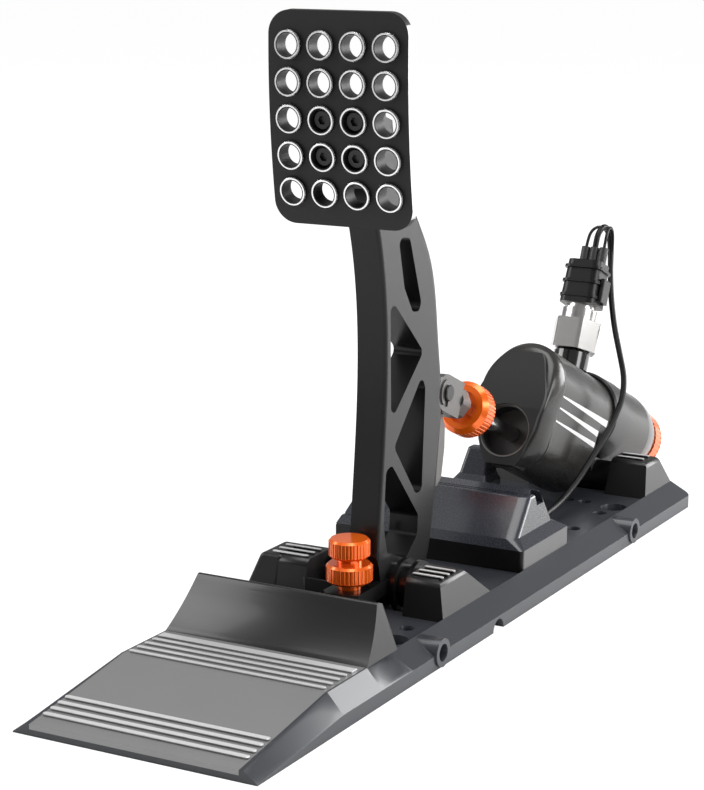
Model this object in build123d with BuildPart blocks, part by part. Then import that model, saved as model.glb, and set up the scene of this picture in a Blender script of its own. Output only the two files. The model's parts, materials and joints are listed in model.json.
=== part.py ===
from build123d import *
from math import atan2, cos, degrees, pi, radians, sin, sqrt, tan
import os

os.makedirs("parts", exist_ok=True)

# A hydraulic brake pedal for a sim racing rig, in millimetres.
# The origin is at the centre of the base's underside. +Y points to the rear, +Z up.
# A "run" is a distance from the front edge of the base, and a "height" one above the floor.

# Clearances shared by all pieces
overrun = 2.0
free_gap = 0.3
running_gap = 0.05
pivot_play = 0.35

# Base casting
base_length = 427.0
base_width = 108.0
flank_height = 6.2
deck_edge_height = 12.0
deck_height = 10.5
deck_width = 86.0
deck_corner = 3.0
nose_height = 4.6
nose_width = 96.4
nose_flank_height = 0.5
heel_height = 14.0
heel_width = 94.0
heel_slope_run = 62.0
heel_end_run = 93.0
stop_foot_run = 118.6
floor_corner = 3.0

# Wells in the deck under the two pivots
well_floor = 3.2
front_well_start = 171.0
front_well_end = 228.0
front_well_width = 47.0
rear_well_start = 397.0
rear_well_end = 420.0
rear_well_width = 43.0
well_corner = 3.0

# Ribbed underside
pocket_size = 20.0
pocket_pitch = 24.0
pocket_depth = 6.0
pocket_corner = 3.0
middle_pockets_run = 275.0
front_pockets_run = 144.0

# Rig mounting holes, accessory bosses and the notches for a strap
rig_hole_side = 35.0
front_rig_hole_run = 137.0
rear_rig_hole_run = 370.0
rig_hole_radius = 4.2
rig_counterbore_radius = 6.5
rig_counterbore_depth = 4.5
small_hole_radius = 3.3
small_hole_side = 33.0
front_small_hole_run = 153.0
rear_small_hole_run = 357.0
middle_small_hole_run = 325.0
cable_hole_side = 18.0
cable_hole_inner_side = 9.0
cable_hole_run = 373.0
boss_radius = 6.0
boss_bore_radius = 3.7
boss_height = 6.2
boss_proud = 0.8
boss_length = 11.0
boss_bore_depth = 9.0
front_boss_run = 143.7
rear_boss_run = 349.5
notch_run = 197.5
notch_radius = 5.0
notch_depth = 8.0

# Heel plate
plate_thickness = 2.0
plate_rim = 0.8
rib_height = 0.8
rib_width = 2.1
front_rib_first_run = 8.5
front_rib_pitch = 4.75
front_rib_count = 4
front_rib_reach = 91.4
rear_rib_first_run = 64.4
rear_rib_pitch = 5.4
rear_rib_count = 4
rear_rib_reach = 90.0
last_rib_width = 4.2
last_rib_run = 86.6

# Heel stop
stop_crest_run = 110.5
stop_crest_height = 35.0
stop_crest_width = 84.0
stop_crest_depth = 3.6
stop_face_hollow = 0.9
stop_wall = 3.0
stop_crest_round = 1.4

# Front pillars
front_pillar_start = 166.0
front_pillar_end = 211.6
front_pillar_top_start = 169.0
front_pillar_top_end = 190.0
pillar_top_height = 27.4
front_pillar_inner = 24.0
pillar_side_lean = 3.0
pillar_round = 3.5
ridge_height = 0.9
ridge_width = 1.7
front_ridge_runs = (172.4, 177.9, 183.4)
front_ridge_inner = 25.5
ridge_length = 14.5
guard_height = 20.0
guard_wall = 1.6
guard_run = 166.5
guard_inner = 10.2

# Rear pillars
rear_pillar_start = 391.0
rear_pillar_end = 426.5
rear_pillar_top_start = 400.0
rear_pillar_top_end = 415.0
rear_pillar_inner = 21.0
rear_ridge_runs = (403.6, 410.6)
rear_ridge_inner = 22.6

# Pillar and heel screws, driven from below
screw_radius = 2.5
screw_head_radius = 4.3
screw_head_height = 3.0
screw_length = 12.0
socket_width = 2.0
socket_depth = 1.6
pillar_screw_side = 33.0
front_pillar_screw_runs = (174.0, 203.0)
rear_pillar_screw_runs = (398.0, 418.0)
heel_screw_side = 36.0
heel_screw_runs = (76.0, 104.0)

# Arm pivot
pivot_run = 191.0
pivot_height = 15.5
arm_pin_radius = 4.0
arm_pin_reach = 66.0
bush_wall = 1.5
bush_length = 13.0
hub_radius = 9.2
hub_length = 45.0
disc_radius = 11.9
disc_thickness = 2.0
disc_sides = (10.5, 17.5)

# Arm
arm_thickness = 14.0
arm_length = 200.0
arm_edge_round = 5.0
arm_front_round = 1.5
window_round = 3.0
head_width = 24.0
head_bottom_height = 196.0
head_top_height = 226.0
head_bottom_run = 160.7
head_top_run = 158.6
head_depth = 13.0
toe_width = 17.0
toe_start = 152.5
toe_end = 184.0
toe_bottom = 13.2
toe_top = 20.0
toe_chamfer = 3.0

# Front edge, rear edge and windows of the arm, as shares of the arm's length from its pivot
front_edge_shares = ((-0.078, 0.078), (-0.062, 0.232), (-0.042, 0.482), (-0.056, 0.688), (-0.112, 0.872))
rear_edge_shares = ((0.0, 1.0), (0.062, 0.860), (0.125, 0.775), (0.178, 0.690), (0.218, 0.500), (0.234, 0.357),
                    (0.218, 0.232), (0.190, 0.077), (0.165, 0.008))
foot_shares = ((0.145, -0.018), (0.070, -0.042), (0.0, -0.050), (-0.055, -0.035))
window_shares = (
    ((-0.025, 0.635), (-0.020, 0.365), (0.128, 0.492)),
    ((-0.006, 0.305), (0.122, 0.440), (0.138, 0.410), (0.124, 0.180), (0.095, 0.180)),
    ((-0.042, 0.262), (-0.015, 0.268), (0.107, 0.130), (0.103, 0.085), (0.050, 0.044), (-0.036, 0.078), (-0.052, 0.140)),
    ((0.010, 0.757), (0.038, 0.645), (0.076, 0.588), (0.108, 0.584), (0.115, 0.605), (0.062, 0.750)),
)

# Tongue that carries the clevis
tongue_thickness = 6.0
tongue_shares = ((0.160, 0.172), (0.235, 0.160), (0.260, 0.177), (0.275, 0.242), (0.277, 0.293), (0.262, 0.320))
tongue_top_shares = ((0.200, 0.455), (0.160, 0.455))
eye_radius = 7.6

# Return spring round the arm's hub
wire_radius = 1.25
coil_radius = 10.8
coil_turns = 4.25
coil_start_side = -21.4
coil_end_side = -8.8
floor_leg = 16.0
arm_leg = 20.0

# Rest position adjuster
knob_run = 163.0
stem_radius = 3.0
stem_bottom_gap = 0.8
upper_knob_radius = 8.9
upper_knob_bottom = 34.1
upper_knob_top = 42.2
neck_radius = 5.4
lower_knob_radius = 10.0
lower_knob_bottom = 23.2
lower_knob_top = 31.2
lower_neck_radius = 5.0
lower_neck_bottom = 20.1
knob_chamfer = 1.0
flute_radius = 0.55
flute_count = 36

# Pad
pad_width = 64.3
pad_height = 87.5
pad_corner = 9.5
pad_thickness = 3.8
pad_bow_radius = 410.0
pad_tilt = 3.6
pad_run = 153.9
pad_mid_height = 218.8
hole_pitch = 15.0
pad_columns = 4
pad_rows = 5
collar_radius = 6.0
collar_bore_radius = 4.7
collar_proud = 1.75
collar_length = 7.0
screw_seat_depth = 4.0
pad_screw_radius = 2.5
pad_screw_head_radius = 3.6
pad_screw_head_height = 2.2
pad_screw_length = 13.0
pad_screw_rows = (-1, 0)
pad_screw_columns = (-0.5, 0.5)

# Cylinder axis: through the bore's centre, sloping down to the rear in the mid plane
bore_run = 316.1
bore_height = 57.0
axis_slope = 24.1
rear_slope = 22.0

# Places along the axis, from the mouth of the bore
clevis_pin_place = -83.0
clevis_end_place = -66.5
clevis_block_place = -74.0
nut_end_place = -58.0
ring_start_place = -51.5
ring_end_place = -40.5
seal_place = 9.5
seal_thickness = 3.5
cover_end_place = 14.0
chamber_start_place = 18.0
chamber_end_place = 62.0
body_end_place = 82.0
lower_body_end_place = 70.0
rear_pivot_place = 100.0

# Clevis and push rod
cheek_width = 16.6
cheek_outer = 6.5
cheek_inner = 3.35
clevis_pin_radius = 3.75
clevis_pin_reach = 8.6
clip_thickness = 0.8
clip_radius = 6.3
rod_radius = 3.75
rod_flat = 6.4
flat_start_place = -37.0
flat_end_place = -24.0
nut_width = 14.0
nut_chamfer = 1.0
ring_radius = 12.6
ring_recess_radius = 7.6
ring_recess_depth = 4.0
ring_bevel = 2.2
ring_flute_count = 44
piston_radius = 9.0
piston_start_place = 20.5
piston_length = 12.0
piston_ring_width = 2.0
piston_ring_depth = 1.2

# Cylinder body and its front cover
bore_radius = 12.3
bore_ring_wall = 0.7
bore_ring_proud = 0.5
bore_ring_length = 3.0
upper_offset = 27.0
upper_body_radius = 20.0
lower_body_radius = 17.0
slave_radius = 13.0
slave_start_place = 32.0
passage_radius = 11.0
transfer_radius = 2.0
transfer_place = 56.0
cover_half_width = 17.2
cover_bottom_offset = -16.5
cover_top_offset = 41.0
cover_shares = ((0.49, 1.0), (0.64, 0.905), (0.76, 0.78), (0.90, 0.63), (1.0, 0.49), (1.0, 0.32), (0.93, 0.195),
                (0.87, 0.05), (0.73, -0.12), (0.64, -0.245), (0.47, -0.365), (0.42, -0.4024))
cover_face_shares = ((-0.05, 0.29), (-0.036, 0.39), (-0.009, 0.51), (0.061, 0.73), (0.166, 1.0))

# Trunnion band and rear housing
band_radius = 22.3
band_wall = 4.0
band_length = 20.0
band_chamfer = 1.0
lug_width = 40.0
lug_radius = 7.4
lug_throat = 9.0
rear_pin_radius = 4.0
rear_pin_reach = 60.0
rear_bush_wall = 1.2
rear_bush_length = 10.0
rear_housing_radius = 21.8
rear_housing_length = 55.0
rear_barrel_length = 30.0
rear_end_radius = 15.6
rear_axis_rise = 1.0
elastomer_radius = 12.4
elastomer_length = 15.4
elastomer_count = 3
elastomer_gap = 1.0
slave_piston_length = 10.0
cap_radius = 16.6
cap_length = 11.0
cap_bevel = 2.4
cap_spigot_radius = 12.9
cap_spigot_length = 6.0
cap_flute_count = 40

# Pressure sensor and its plug, square to the axis
sensor_place = 62.0
port_top = 55.0
port_radius = 9.2
port_bottom = 45.5
hex_width = 22.0
hex_top = 70.5
hex_chamfer = 1.2
shoulder_radius = 8.9
shoulder_top = 76.5
neck_top = 81.0
sensor_neck_radius = 7.4
plug_bottom = 79.0
plug_top = 101.6
plug_width = 19.6
plug_depth = 17.4
plug_corner = 4.0
plug_wall = 1.4
plug_rib_height = 0.8
plug_rib_count = 3
plug_rib_share = 0.4
latch_width = 9.0
latch_length = 12.0
latch_thickness = 2.4
seal_tube_radius = 2.3
seal_tube_pitch = 4.9
seal_tube_top = 111.0
seal_tube_shift = 4.0

# Sensor lead, from the plug over the collar and down to the electronics housing.
# Points are side, run and height along the lead's real route.
lead_radius = 1.5
bend_share = 0.45
lead_points = (
    (0, 421.7, 131.7), (0, 424.6, 138.2), (0, 432.6, 141.6), (0.4, 440.4, 137.2), (1.2, 440.0, 128.0),
    (3.6, 433.8, 118.0), (8.6, 423.6, 106.0), (15.2, 412.8, 93.0), (22.0, 404.4, 81.2), (27.0, 399.0, 70.8),
    (29.2, 392.6, 61.4), (28.4, 382.4, 50.4), (25.4, 368.6, 38.4), (22.6, 353.6, 26.8), (21.0, 336.0, 19.2),
    (20.6, 316.0, 16.8), (21.0, 294.8, 16.6),
)

# Electronics housing
box_start = 245.8
box_end = 296.4
box_width = 85.4
box_top = 20.6
box_wall = 2.4
box_corner = 2.0
ledge_height = 24.4
ledge_inset_side = 5.4
ledge_inset_front = 3.4
ledge_inset_rear = 4.6
lid_top_height = 38.6
lid_top_inset_side = 3.6
lid_top_inset_front = 21.0
lid_top_inset_rear = 4.6
lid_corner = 5.0
lid_wall = 2.2
lid_top_round = 1.6
line_width = 1.0
line_gap = 1.5
line_depth = 0.7
line_reach = 52.0
slot_width = 12.0
slot_length = 7.0
slot_depth = 5.0
board_height = 16.5
board_thickness = 1.6
chip_height = 2.0
gland_radius = 5.2
gland_bore_radius = 3.3
gland_side = 21.0
gland_height = 15.9

# Socket box behind the housing, on the left
socket_start = 343.5
socket_end = 361.0
socket_inner = 22.5
socket_ledge_inset = 3.0
socket_top_height = 37.0
socket_top_inset = 2.4
socket_front_inset = 5.0

# Derived places
front_edge = -base_length / 2
base_half = base_width / 2
deck_half = deck_width / 2
pivot_y = front_edge + pivot_run
axis_direction = Vector(0, cos(radians(axis_slope)), -sin(radians(axis_slope)))
axis_up = Vector(0, sin(radians(axis_slope)), cos(radians(axis_slope)))
rear_direction = Vector(0, cos(radians(rear_slope)), -sin(radians(rear_slope)))
bore_centre = Vector(0, front_edge + bore_run, bore_height)


def side(run, height):
    """A point on a plane seen from the right, with its Y and Z."""
    return (front_edge + run, height)


def from_pivot(share):
    """A point of the arm, from its shares of the arm's length."""
    return (pivot_y + share[0] * arm_length, pivot_height + share[1] * arm_length)


def along(place, up=0):
    """A point in the mid plane at a place along the cylinder's axis and a distance square to it."""
    return bore_centre + axis_direction * place + axis_up * up


def square_to_axis(place, up=0):
    """A plane across the cylinder's axis, with its local Y pointing up from it."""
    return Plane(origin=along(place, up), x_dir=(-1, 0, 0), z_dir=axis_direction)


def square_to_rear(place=0, rise=0):
    """A plane across the rear housing's axis, which starts where the upper bore leaves the body."""
    start = along(body_end_place, upper_offset)
    plane = Plane(origin=start, x_dir=(-1, 0, 0), z_dir=rear_direction)
    return Plane(origin=start + rear_direction * place + plane.y_dir * rise, x_dir=(-1, 0, 0), z_dir=rear_direction)


def facing_right(place_x, origin):
    """A plane that faces +X at the given side, through the Y and Z of the origin."""
    return Plane(origin=(place_x, origin[0], origin[1]), x_dir=(0, 1, 0), z_dir=(1, 0, 0))


axis_side = Plane(origin=bore_centre, x_dir=axis_direction, z_dir=(1, 0, 0))
pivot_point = (pivot_y, pivot_height)
clevis_point = (along(clevis_pin_place).Y, along(clevis_pin_place).Z)
rear_pivot_point = (along(rear_pivot_place).Y, along(rear_pivot_place).Z)


def save(piece, name):
    """Label a finished piece and write it to its own file."""
    piece.part.label = name
    export_step(piece.part, f"parts/{name}.step")


def rod_x(point, radius, start, end):
    """A round bar along X between two sides, through a point of the side view."""
    with BuildPart() as bar:
        with BuildSketch(facing_right(start, point)):
            Circle(radius)
        extrude(amount=end - start)
    return bar.part


# Base casting


def flank_section(run, top_width, top_height, wall_height):
    """Cross section of the base at a distance from its front edge."""
    plane = Plane(origin=(0, front_edge + run, 0), x_dir=(1, 0, 0), z_dir=(0, -1, 0))
    with BuildSketch(plane) as section:
        with BuildLine():
            Polyline(
                (-base_half, 0), (-base_half, wall_height), (-top_width / 2, top_height),
                (top_width / 2, top_height), (base_half, wall_height), (base_half, 0), close=True,
            )
        make_face()
    return section.sketch


def heel_slab(width, thickness):
    """Slab that follows the top of the heel, this thick and this wide."""
    with BuildPart() as slab:
        with BuildSketch(Plane.YZ):
            with BuildLine():
                Polyline(
                    side(0, nose_height), side(heel_slope_run, heel_height), side(heel_end_run, heel_height),
                    side(heel_end_run, heel_height - thickness), side(heel_slope_run, heel_height - thickness),
                    side(0, nose_height - thickness), close=True,
                )
            make_face()
        extrude(amount=width / 2, both=True)
    return slab.part


def deck_hole_places():
    """Places of the small holes in the deck, on both sides where the deck is open."""
    right = [
        (small_hole_side, front_small_hole_run), (small_hole_side, rear_small_hole_run),
        (small_hole_side, middle_small_hole_run), (cable_hole_side, cable_hole_run),
        (cable_hole_inner_side, cable_hole_run),
    ]
    left = [(-across, run) for across, run in right if run != rear_small_hole_run]
    return [(across, front_edge + run) for across, run in right + left]


rig_hole_places = [
    (hand * rig_hole_side, front_edge + run) for hand in (-1, 1) for run in (front_rig_hole_run, rear_rig_hole_run)
]
pillar_screw_places = [
    (hand * pillar_screw_side, front_edge + run)
    for hand in (-1, 1) for run in front_pillar_screw_runs + rear_pillar_screw_runs
]
heel_screw_places = [(hand * heel_screw_side, front_edge + run) for hand in (-1, 1) for run in heel_screw_runs]

base_sections = [
    flank_section(0, nose_width, nose_height, nose_flank_height),
    flank_section(heel_slope_run, heel_width, heel_height, flank_height),
    flank_section(heel_end_run, heel_width, heel_height, flank_height),
    flank_section(stop_foot_run, deck_width, deck_edge_height, flank_height),
    flank_section(base_length, deck_width, deck_edge_height, flank_height),
]

with BuildPart() as base_frame:
    loft(base_sections, ruled=True)
    for hand in (-1, 1):
        boss_plane = Plane(
            origin=(hand * (base_half + boss_proud), 0, 0), x_dir=(0, hand, 0), z_dir=(hand, 0, 0))
        with BuildSketch(boss_plane):
            for run in (front_boss_run, rear_boss_run):
                with Locations((hand * (front_edge + run), boss_height)):
                    Circle(boss_radius)
        extrude(amount=-boss_length)
    deck_start = stop_foot_run + overrun
    deck_end = base_length + deck_corner
    with BuildSketch(Plane.XY.offset(deck_height)):
        with Locations((0, front_edge + (deck_start + deck_end) / 2)):
            RectangleRounded(deck_width, deck_end - deck_start, deck_corner)
    extrude(amount=deck_edge_height, mode=Mode.SUBTRACT)
    with BuildSketch(Plane.XY.offset(well_floor)):
        with Locations((0, front_edge + (front_well_start + front_well_end) / 2)):
            RectangleRounded(front_well_width, front_well_end - front_well_start, well_corner)
        with Locations((0, front_edge + (rear_well_start + rear_well_end) / 2)):
            RectangleRounded(rear_well_width, rear_well_end - rear_well_start, well_corner)
    extrude(amount=deck_edge_height, mode=Mode.SUBTRACT)
    with BuildSketch(Plane.XY):
        with Locations((0, front_edge + middle_pockets_run)):
            with GridLocations(pocket_pitch, pocket_pitch, 3, 3):
                RectangleRounded(pocket_size, pocket_size, pocket_corner)
        with Locations((0, front_edge + front_pockets_run)):
            with GridLocations(pocket_pitch, pocket_pitch, 2, 2):
                RectangleRounded(pocket_size, pocket_size, pocket_corner)
    extrude(amount=pocket_depth, mode=Mode.SUBTRACT)
    for hand in (-1, 1):
        boss_plane = Plane(
            origin=(hand * (base_half + boss_proud), 0, 0), x_dir=(0, hand, 0), z_dir=(hand, 0, 0))
        with BuildSketch(boss_plane):
            for run in (front_boss_run, rear_boss_run):
                with Locations((hand * (front_edge + run), boss_height)):
                    Circle(boss_bore_radius)
        extrude(amount=-boss_bore_depth, mode=Mode.SUBTRACT)
        with BuildSketch(boss_plane):
            with Locations((hand * (front_edge + notch_run), 0)):
                Circle(notch_radius)
        extrude(amount=-notch_depth, mode=Mode.SUBTRACT)
    with Locations(*[(x, y, deck_height) for x, y in rig_hole_places]):
        CounterBoreHole(rig_hole_radius, rig_counterbore_radius, rig_counterbore_depth)
    with Locations(*[(x, y, deck_height) for x, y in deck_hole_places()]):
        Hole(small_hole_radius)
    with Locations(*[Location((x, y, 0), (180, 0, 0)) for x, y in pillar_screw_places + heel_screw_places]):
        CounterBoreHole(screw_radius, screw_head_radius, screw_head_height)
    add(heel_slab(heel_width - 2 * plate_rim, plate_thickness), mode=Mode.SUBTRACT)
    upright = base_frame.edges().filter_by(Axis.Z).filter_by_position(Axis.X, base_half - running_gap, base_half + overrun)
    fillet(upright.group_by(Axis.Y)[-1], floor_corner)
save(base_frame, "base_frame")

# Heel plate with its raised ribs

slope_angle = degrees(atan2(heel_height - nose_height, heel_slope_run))
slope_plane = Plane(origin=(0, front_edge, nose_height), x_dir=(1, 0, 0)).rotated((slope_angle, 0, 0))
with BuildPart() as heel_plate:
    add(heel_slab(heel_width - 2 * plate_rim, plate_thickness))
    with BuildSketch(slope_plane):
        for index in range(front_rib_count):
            with Locations((0, front_rib_first_run + index * front_rib_pitch)):
                SlotOverall(front_rib_reach, rib_width)
    extrude(amount=rib_height)
    with BuildSketch(Plane.XY.offset(heel_height)):
        for index in range(rear_rib_count):
            with Locations((0, front_edge + rear_rib_first_run + index * rear_rib_pitch)):
                SlotOverall(rear_rib_reach, rib_width)
        with Locations((0, front_edge + last_rib_run)):
            Rectangle(rear_rib_reach, last_rib_width)
    extrude(amount=rib_height)
    with Locations(*[Location((x, y, heel_height - plate_thickness), (180, 0, 0))
                     for x, y in heel_screw_places if y < front_edge + heel_end_run]):
        Hole(screw_radius, depth=plate_thickness / 2)
save(heel_plate, "heel_plate")

# Heel stop: a thin curved face with closed ends and one middle rib, open at the back

stop_base_height = deck_edge_height
with BuildPart() as heel_stop:
    with BuildSketch(Plane.YZ):
        with BuildLine() as stop_outline:
            foot = side(heel_end_run, heel_height)
            crest = side(stop_crest_run, stop_crest_height)
            crest_rear = side(stop_crest_run + stop_crest_depth, stop_crest_height - stop_crest_round)
            middle = ((foot[0] + crest[0]) / 2 + stop_face_hollow, (foot[1] + crest[1]) / 2 - stop_face_hollow)
            ThreePointArc(foot, middle, crest)
            Polyline(crest, crest_rear, side(stop_foot_run, stop_base_height), foot)
        make_face()
    extrude(amount=heel_width / 2, both=True)
    with BuildSketch(Plane.XZ.offset(-front_edge)):
        with BuildLine():
            Polyline(
                (-deck_half, stop_base_height), (-heel_width / 2, heel_height),
                (-stop_crest_width / 2, stop_crest_height), (stop_crest_width / 2, stop_crest_height),
                (heel_width / 2, heel_height), (deck_half, stop_base_height), close=True,
            )
        make_face()
    extrude(amount=-base_length, mode=Mode.INTERSECT)
    crest_edges = heel_stop.edges().filter_by(Axis.X).group_by(Axis.Z)[-1]
    fillet(crest_edges, stop_crest_round)
    cavity_width = stop_crest_width / 2 - 1.5 * stop_wall
    for hand in (-1, 1):
        with BuildSketch(Plane.YZ.offset(hand * (cavity_width + stop_wall) / 2)):
            with BuildLine():
                inner_foot = side(heel_end_run + 2.4 * stop_wall, heel_height + stop_wall / 4)
                inner_top = side(stop_crest_run + stop_crest_depth, stop_crest_height - 2 * stop_wall)
                inner_middle = (
                    (inner_foot[0] + inner_top[0]) / 2 + stop_face_hollow,
                    (inner_foot[1] + inner_top[1]) / 2 - stop_face_hollow,
                )
                ThreePointArc(inner_foot, inner_middle, inner_top)
                Polyline(
                    inner_top, side(stop_foot_run + overrun, stop_crest_height - 2 * stop_wall),
                    side(stop_foot_run + overrun, heel_height + stop_wall / 4), inner_foot,
                )
            make_face()
        extrude(amount=(cavity_width - stop_wall) / 2, both=True, mode=Mode.SUBTRACT)
save(heel_stop, "heel_stop")

# Screws from below: a socket head in the counterbore and a plain shank


def screws(places, length):
    """Socket screws from the underside at these places."""
    with BuildPart() as group:
        with BuildSketch(Plane.XY):
            with Locations(*places):
                Circle(screw_head_radius - free_gap)
        extrude(amount=screw_head_height)
        with BuildSketch(Plane.XY):
            with Locations(*places):
                Circle(screw_radius)
        extrude(amount=length)
        with BuildSketch(Plane.XY):
            with Locations(*places):
                RegularPolygon(socket_width, 6)
        extrude(amount=socket_depth, mode=Mode.SUBTRACT)
    return group


save(screws(pillar_screw_places, screw_length), "pillar_screws")
save(screws([place for place in heel_screw_places if place[1] < front_edge + heel_end_run],
            heel_height - plate_thickness / 2), "heel_plate_screws")
save(screws([place for place in heel_screw_places if place[1] > front_edge + heel_end_run],
            stop_base_height + free_gap), "heel_stop_screws")

# Pillars


def pillar(start, end, top_start, top_end, inner, hand, ridge_runs, ridge_inner):
    """A tapered cast pillar on the deck, with raised ridges across its top."""
    with BuildPart() as post:
        with BuildSketch(Plane.YZ.offset(hand * inner)):
            with BuildLine():
                Polyline(
                    side(start, deck_height), side(top_start, pillar_top_height), side(top_end, pillar_top_height),
                    side(end, deck_edge_height), side(end, deck_height), close=True,
                )
            make_face()
        extrude(amount=hand * (deck_half - inner))
        with BuildSketch(Plane.XZ.offset(-front_edge - start)):
            with BuildLine():
                Polyline(
                    (hand * inner, deck_height), (hand * inner, pillar_top_height),
                    (hand * (deck_half - pillar_side_lean), pillar_top_height),
                    (hand * deck_half, deck_edge_height), (hand * deck_half, deck_height), close=True,
                )
            make_face()
        extrude(amount=-(end - start), mode=Mode.INTERSECT)
        top = post.faces().sort_by(Axis.Z)[-1]
        fillet(top.edges().sort_by(Axis.X, reverse=hand < 0)[1:], pillar_round)
        with BuildSketch(Plane.XY.offset(pillar_top_height - running_gap)):
            for run in ridge_runs:
                with Locations((hand * (ridge_inner + ridge_length / 2), front_edge + run)):
                    SlotOverall(ridge_length, ridge_width)
        extrude(amount=ridge_height + running_gap)
        screw_places = [
            (hand * pillar_screw_side, front_edge + run)
            for run in front_pillar_screw_runs + rear_pillar_screw_runs if start < run < end
        ]
        with BuildSketch(Plane.XY.offset(deck_height)):
            with Locations(*screw_places):
                Circle(screw_radius)
        extrude(amount=screw_length - deck_height + free_gap, mode=Mode.SUBTRACT)
    return post


for hand, name in ((1, "right"), (-1, "left")):
    with BuildPart() as front_pillar:
        add(pillar(front_pillar_start, front_pillar_end, front_pillar_top_start, front_pillar_top_end,
                   front_pillar_inner, hand, front_ridge_runs, front_ridge_inner).part)
        add(rod_x(pivot_point, arm_pin_radius, -arm_pin_reach / 2, arm_pin_reach / 2), mode=Mode.SUBTRACT)
        if hand < 0:
            with BuildSketch(Plane.XY.offset(deck_height)):
                with BuildLine():
                    Polyline(
                        (-front_pillar_inner - guard_wall, front_edge + front_pillar_start + guard_wall),
                        (-front_pillar_inner, front_edge + guard_run), (-guard_inner, front_edge + guard_run),
                        (-guard_inner, front_edge + guard_run + guard_wall),
                        (-front_pillar_inner, front_edge + guard_run + guard_wall),
                        (-front_pillar_inner - guard_wall, front_edge + front_pillar_top_start), close=True,
                    )
                make_face()
            extrude(amount=guard_height - deck_height)
    save(front_pillar, f"front_pillar_{name}")
    with BuildPart() as rear_pillar:
        add(pillar(rear_pillar_start, rear_pillar_end, rear_pillar_top_start, rear_pillar_top_end,
                   rear_pillar_inner, hand, rear_ridge_runs, rear_ridge_inner).part)
        add(rod_x(rear_pivot_point, rear_pin_radius, -rear_pin_reach / 2, rear_pin_reach / 2), mode=Mode.SUBTRACT)
    save(rear_pillar, f"rear_pillar_{name}")

# Pivot pins and their bushes


def round_pin(point, radius, reach):
    """A pivot pin across the base, with a small chamfer at both ends."""
    with BuildPart() as pin:
        add(rod_x(point, radius, -reach / 2, reach / 2))
        chamfer(pin.edges().filter_by(GeomType.CIRCLE), running_gap * 10)
    return pin


def bushes(point, radius, wall, outer_reach, length):
    """Two plain bushes pressed into the ends of a hub."""
    with BuildPart() as pair:
        for start in (-outer_reach / 2, outer_reach / 2 - length):
            add(rod_x(point, radius + running_gap + wall, start, start + length))
        add(rod_x(point, radius + running_gap, -outer_reach, outer_reach), mode=Mode.SUBTRACT)
    return pair


save(round_pin(pivot_point, arm_pin_radius, arm_pin_reach), "arm_pin")
save(round_pin(rear_pivot_point, rear_pin_radius, rear_pin_reach), "rear_pin")
save(bushes(pivot_point, arm_pin_radius, bush_wall, hub_length, bush_length), "arm_bushes")
save(bushes(rear_pivot_point, rear_pin_radius, rear_bush_wall, lug_width, rear_bush_length), "rear_bushes")

# Places on the bowed pad, which its screw holes in the arm's head follow too

pad_side = Plane(
    origin=(0, front_edge + pad_run, pad_mid_height),
    x_dir=(0, cos(radians(pad_tilt)), sin(radians(pad_tilt))), z_dir=(1, 0, 0),
)


def pad_plane(rise, inward):
    """A plane that faces the driver, at a height on the bowed pad and a depth from its front."""
    angle = rise / pad_bow_radius
    depth = pad_bow_radius - (pad_bow_radius - inward) * cos(angle)
    origin = pad_side.from_local_coords(Vector(depth, (pad_bow_radius - inward) * sin(angle), 0))
    normal = pad_side.x_dir * -cos(angle) + pad_side.y_dir * sin(angle)
    return Plane(origin=origin, x_dir=(1, 0, 0), z_dir=normal)


pad_rises = [(row - (pad_rows - 1) / 2) * hole_pitch for row in range(pad_rows)]
pad_sides = [(column - (pad_columns - 1) / 2) * hole_pitch for column in range(pad_columns)]
screw_rises = [row * hole_pitch for row in pad_screw_rows]
screw_sides = [column * hole_pitch for column in pad_screw_columns]

# Arm: one milled truss with a round hub, a head for the pad and a toe for the rest position adjuster

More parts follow.
